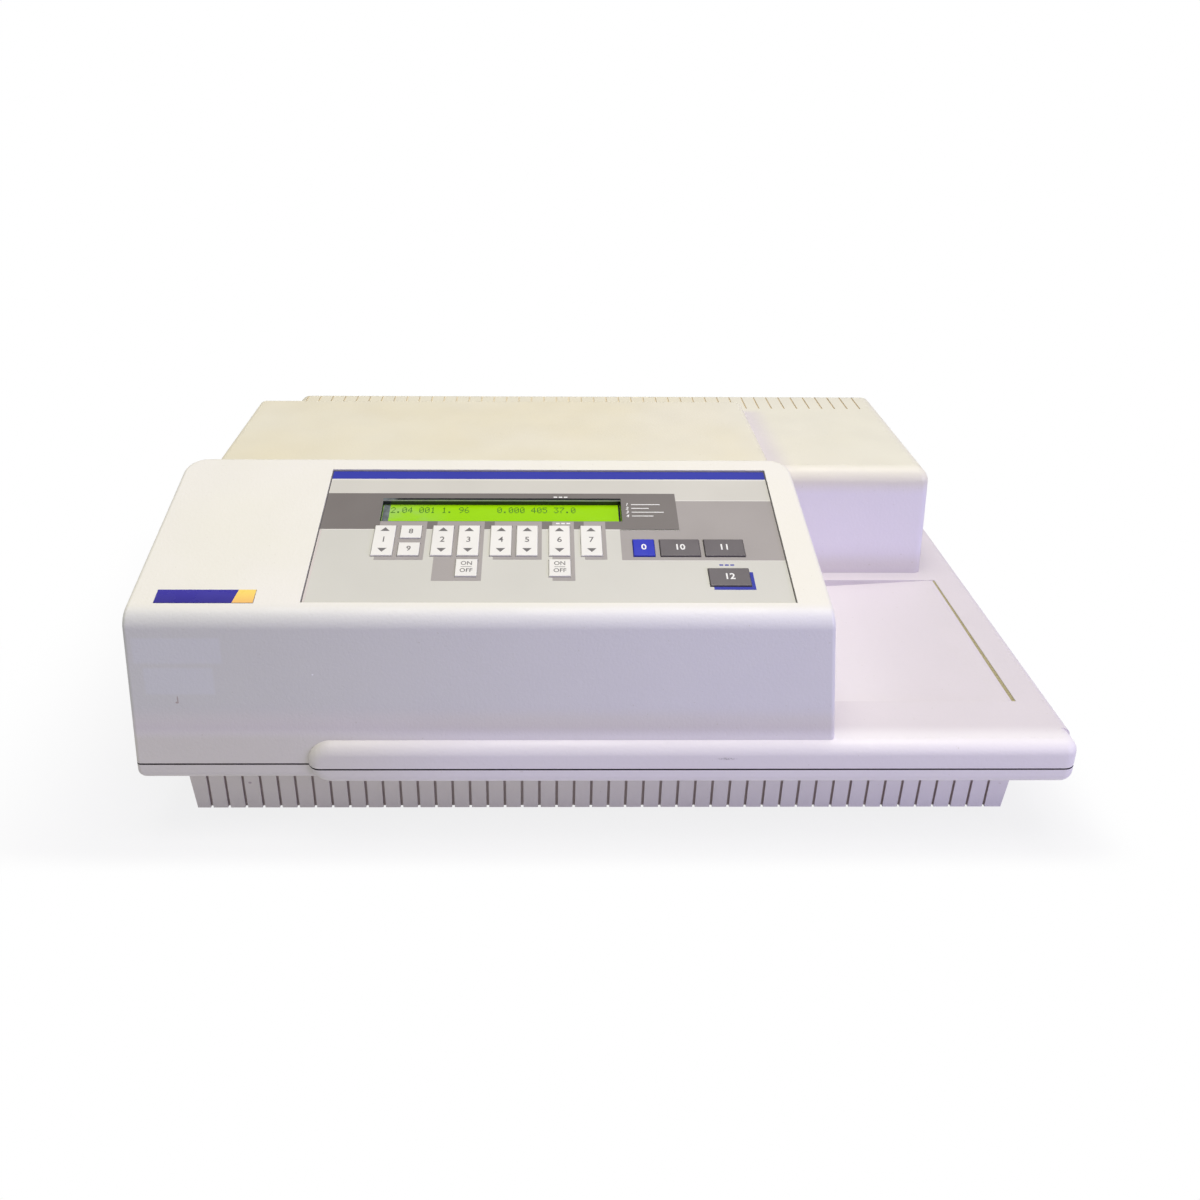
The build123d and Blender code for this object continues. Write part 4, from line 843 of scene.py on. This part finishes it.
def makePorts():  # dark faces with two rows of pins, and a threaded post at each end
    look = {"half": 26.5, "rows": (13, 12), "pitch": 2.76, "apart": 2.84, "pin": 0.5, "pinLong": 0.1,
            "pinOut": 0.08, "post": 2.4, "postLong": 2.9, "postSide": 23.5, "flange": 1.0}
    low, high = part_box("serial_ports")
    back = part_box("rear_panel")[1].y / mm + look["flange"]
    middle, face = (low.z + high.z) / 2 / mm, high.y / mm
    ports = (low.x / mm + look["half"], high.x / mm - look["half"])
    pins, posts = bmesh.new(), bmesh.new()
    for x in ports:
        for row, count in enumerate(look["rows"]):
            for index in range(count):
                place = (x + (index - (count - 1) / 2) * look["pitch"], face + look["pinOut"],
                         middle + look["apart"] * (0.5 - row))
                addRod(pins, place, look["pin"], look["pinLong"], 10)
        for side in (-look["postSide"], look["postSide"]):
            place = (x + side, back + look["postLong"] / 2, middle)
            addRod(posts, place, look["post"], look["postLong"], 6)
    faces = merged([portFace(x, face, middle) for x in ports])
    size = Matrix.Scale(mm, 4)
    addPiece("portFaces", faces, "base", inks["socket"], size)
    addPiece("portPins", pins, "base", inks["pin"], size)
    addPiece("portPosts", posts, "base", finishes["screw_steel"], size)


makeRearScrews()
makePorts()
print("rear fittings made")


# floor, light and camera
def makeFloor():  # white away from the object; close round it, over a painted shadow zone widest at the left, the camera sees part of the darker lit floor with the object's shadow
    look = {"size": 14.0, "color": (0.56, 0.55, 0.595), "left": 0.20, "right": 0.06, "front": 0.030,
            "back": 0.15, "least": 0.84}
    low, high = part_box("bottom_cover")
    shape = bmesh.new()
    bmesh.ops.create_grid(shape, x_segments=1, y_segments=1, size=look["size"] / 2)
    mesh = bpy.data.meshes.new("floor")
    shape.to_mesh(mesh)
    shape.free()
    floor = bpy.data.objects.new("floor", mesh)
    bpy.context.scene.collection.objects.link(floor)
    material = newMaterial("floorPale", look["color"], 0.9)
    shader = material.node_tree.nodes["Principled BSDF"]
    output = material.node_tree.nodes["Material Output"]
    x, y = axes(material)[:2]
    # painted shadow: the floor grows darker towards the object over these reaches
    sides = [ramp(material, x, low.x, low.x - look["left"], 0.0, 1.0),
             ramp(material, x, high.x, high.x + look["right"], 0.0, 1.0),
             ramp(material, y, low.y, low.y - look["front"], 0.0, 1.0),
             ramp(material, y, high.y, high.y + look["back"], 0.0, 1.0)]
    near = allOf(material, *[calculate(material, "SUBTRACT", 1.0, side) for side in sides])
    away = ramp(material, near, 1.0, 0.0, look["least"], 1.0)
    path = addNode(material, "ShaderNodeLightPath")
    seen = calculate(material, "MAXIMUM", path.outputs["Is Camera Ray"], path.outputs["Is Glossy Ray"])
    seen = calculate(material, "MAXIMUM", seen, path.outputs["Is Transmission Ray"])
    white = addNode(material, "ShaderNodeEmission")
    mix = addNode(material, "ShaderNodeMixShader")
    join(material, calculate(material, "MULTIPLY", away, seen), mix.inputs["Fac"])
    join(material, shader.outputs["BSDF"], mix.inputs[1])
    join(material, white.outputs["Emission"], mix.inputs[2])
    join(material, mix.outputs["Shader"], output.inputs["Surface"])
    mesh.materials.append(material)


lampLook = {
    "overhead": {"place": (0.15, -0.25, 2.90), "target": (0, 0, 0.1), "size": (2.0, 1.6), "power": 73,
                 "color": (1.0, 0.985, 0.91)},
    "frontRight": {"place": (1.7, -1.4, 0.7), "target": (0.1, -0.05, 0.1), "size": (1.0, 1.0), "power": 17,
                   "color": (0.60, 0.54, 1.0)},
}


def makeLamp(name, place, target, size, power, color):
    light = bpy.data.lights.new(name, "AREA")
    light.shape = "RECTANGLE"
    light.size, light.size_y = size
    light.energy = power
    light.color = color
    lamp = bpy.data.objects.new(name, light)
    lamp.location = place
    lamp.rotation_mode = "QUATERNION"
    lamp.rotation_quaternion = (Vector(target) - Vector(place)).to_track_quat("-Z", "Y")
    bpy.context.scene.collection.objects.link(lamp)


def makeLight():  # the world is white to the camera and dimmer to the object
    look = {"ambient": 0.265, "tint": (0.92, 0.91, 1.0)}
    world = bpy.data.worlds.new("studio")
    bpy.context.scene.world = world
    world.use_nodes = True
    tree = world.node_tree
    background = tree.nodes["Background"]
    path = tree.nodes.new("ShaderNodeLightPath")
    seen = tree.nodes.new("ShaderNodeMath")
    seen.operation = "MAXIMUM"
    tree.links.new(path.outputs["Is Camera Ray"], seen.inputs[0])
    tree.links.new(path.outputs["Is Transmission Ray"], seen.inputs[1])
    choose = tree.nodes.new("ShaderNodeMapRange")
    choose.inputs["To Min"].default_value = look["ambient"]
    choose.inputs["To Max"].default_value = 1.0
    tree.links.new(seen.outputs[0], choose.inputs["Value"])
    tree.links.new(choose.outputs["Result"], background.inputs["Strength"])
    shade = tree.nodes.new("ShaderNodeMix")
    shade.data_type = "RGBA"
    tree.links.new(seen.outputs[0], shade.inputs[0])
    shade.inputs[6].default_value = (*look["tint"], 1)
    shade.inputs[7].default_value = (1, 1, 1, 1)
    tree.links.new(shade.outputs[2], background.inputs["Color"])
    for name, lamp in lampLook.items():
        makeLamp(name, lamp["place"], lamp["target"], lamp["size"], lamp["power"], lamp["color"])


def makeCamera():
    look = {"place": (-0.03939, -0.72181, 0.49327), "yaw": 0.01275, "pitch": 0.36208, "roll": 0.0076,
            "focal": 1066.99, "centre": (557.6, 409.9), "width": 1200.0, "sensor": 36}
    data = bpy.data.cameras.new("camera")
    data.sensor_width = look["sensor"]
    data.lens = look["sensor"] * look["focal"] / look["width"]
    data.shift_x = 0.5 - look["centre"][0] / look["width"]
    data.shift_y = look["centre"][1] / look["width"] - 0.5
    camera = bpy.data.objects.new("camera", data)
    forward = Vector((math.sin(look["yaw"]) * math.cos(look["pitch"]),
                      math.cos(look["yaw"]) * math.cos(look["pitch"]), -math.sin(look["pitch"])))
    level = Vector((math.cos(look["yaw"]), -math.sin(look["yaw"]), 0))
    upright = level.cross(forward)
    right = math.cos(look["roll"]) * level + math.sin(look["roll"]) * upright
    up = math.cos(look["roll"]) * upright - math.sin(look["roll"]) * level
    turn = Matrix((right, up, -forward)).transposed()
    camera.rotation_mode = "QUATERNION"
    camera.rotation_quaternion = turn.to_quaternion()
    camera.location = look["place"]
    bpy.context.scene.collection.objects.link(camera)
    bpy.context.scene.camera = camera


makeFloor()
makeLight()
makeCamera()
bpy.context.scene.view_settings.view_transform = "Standard"
print("light and camera set")
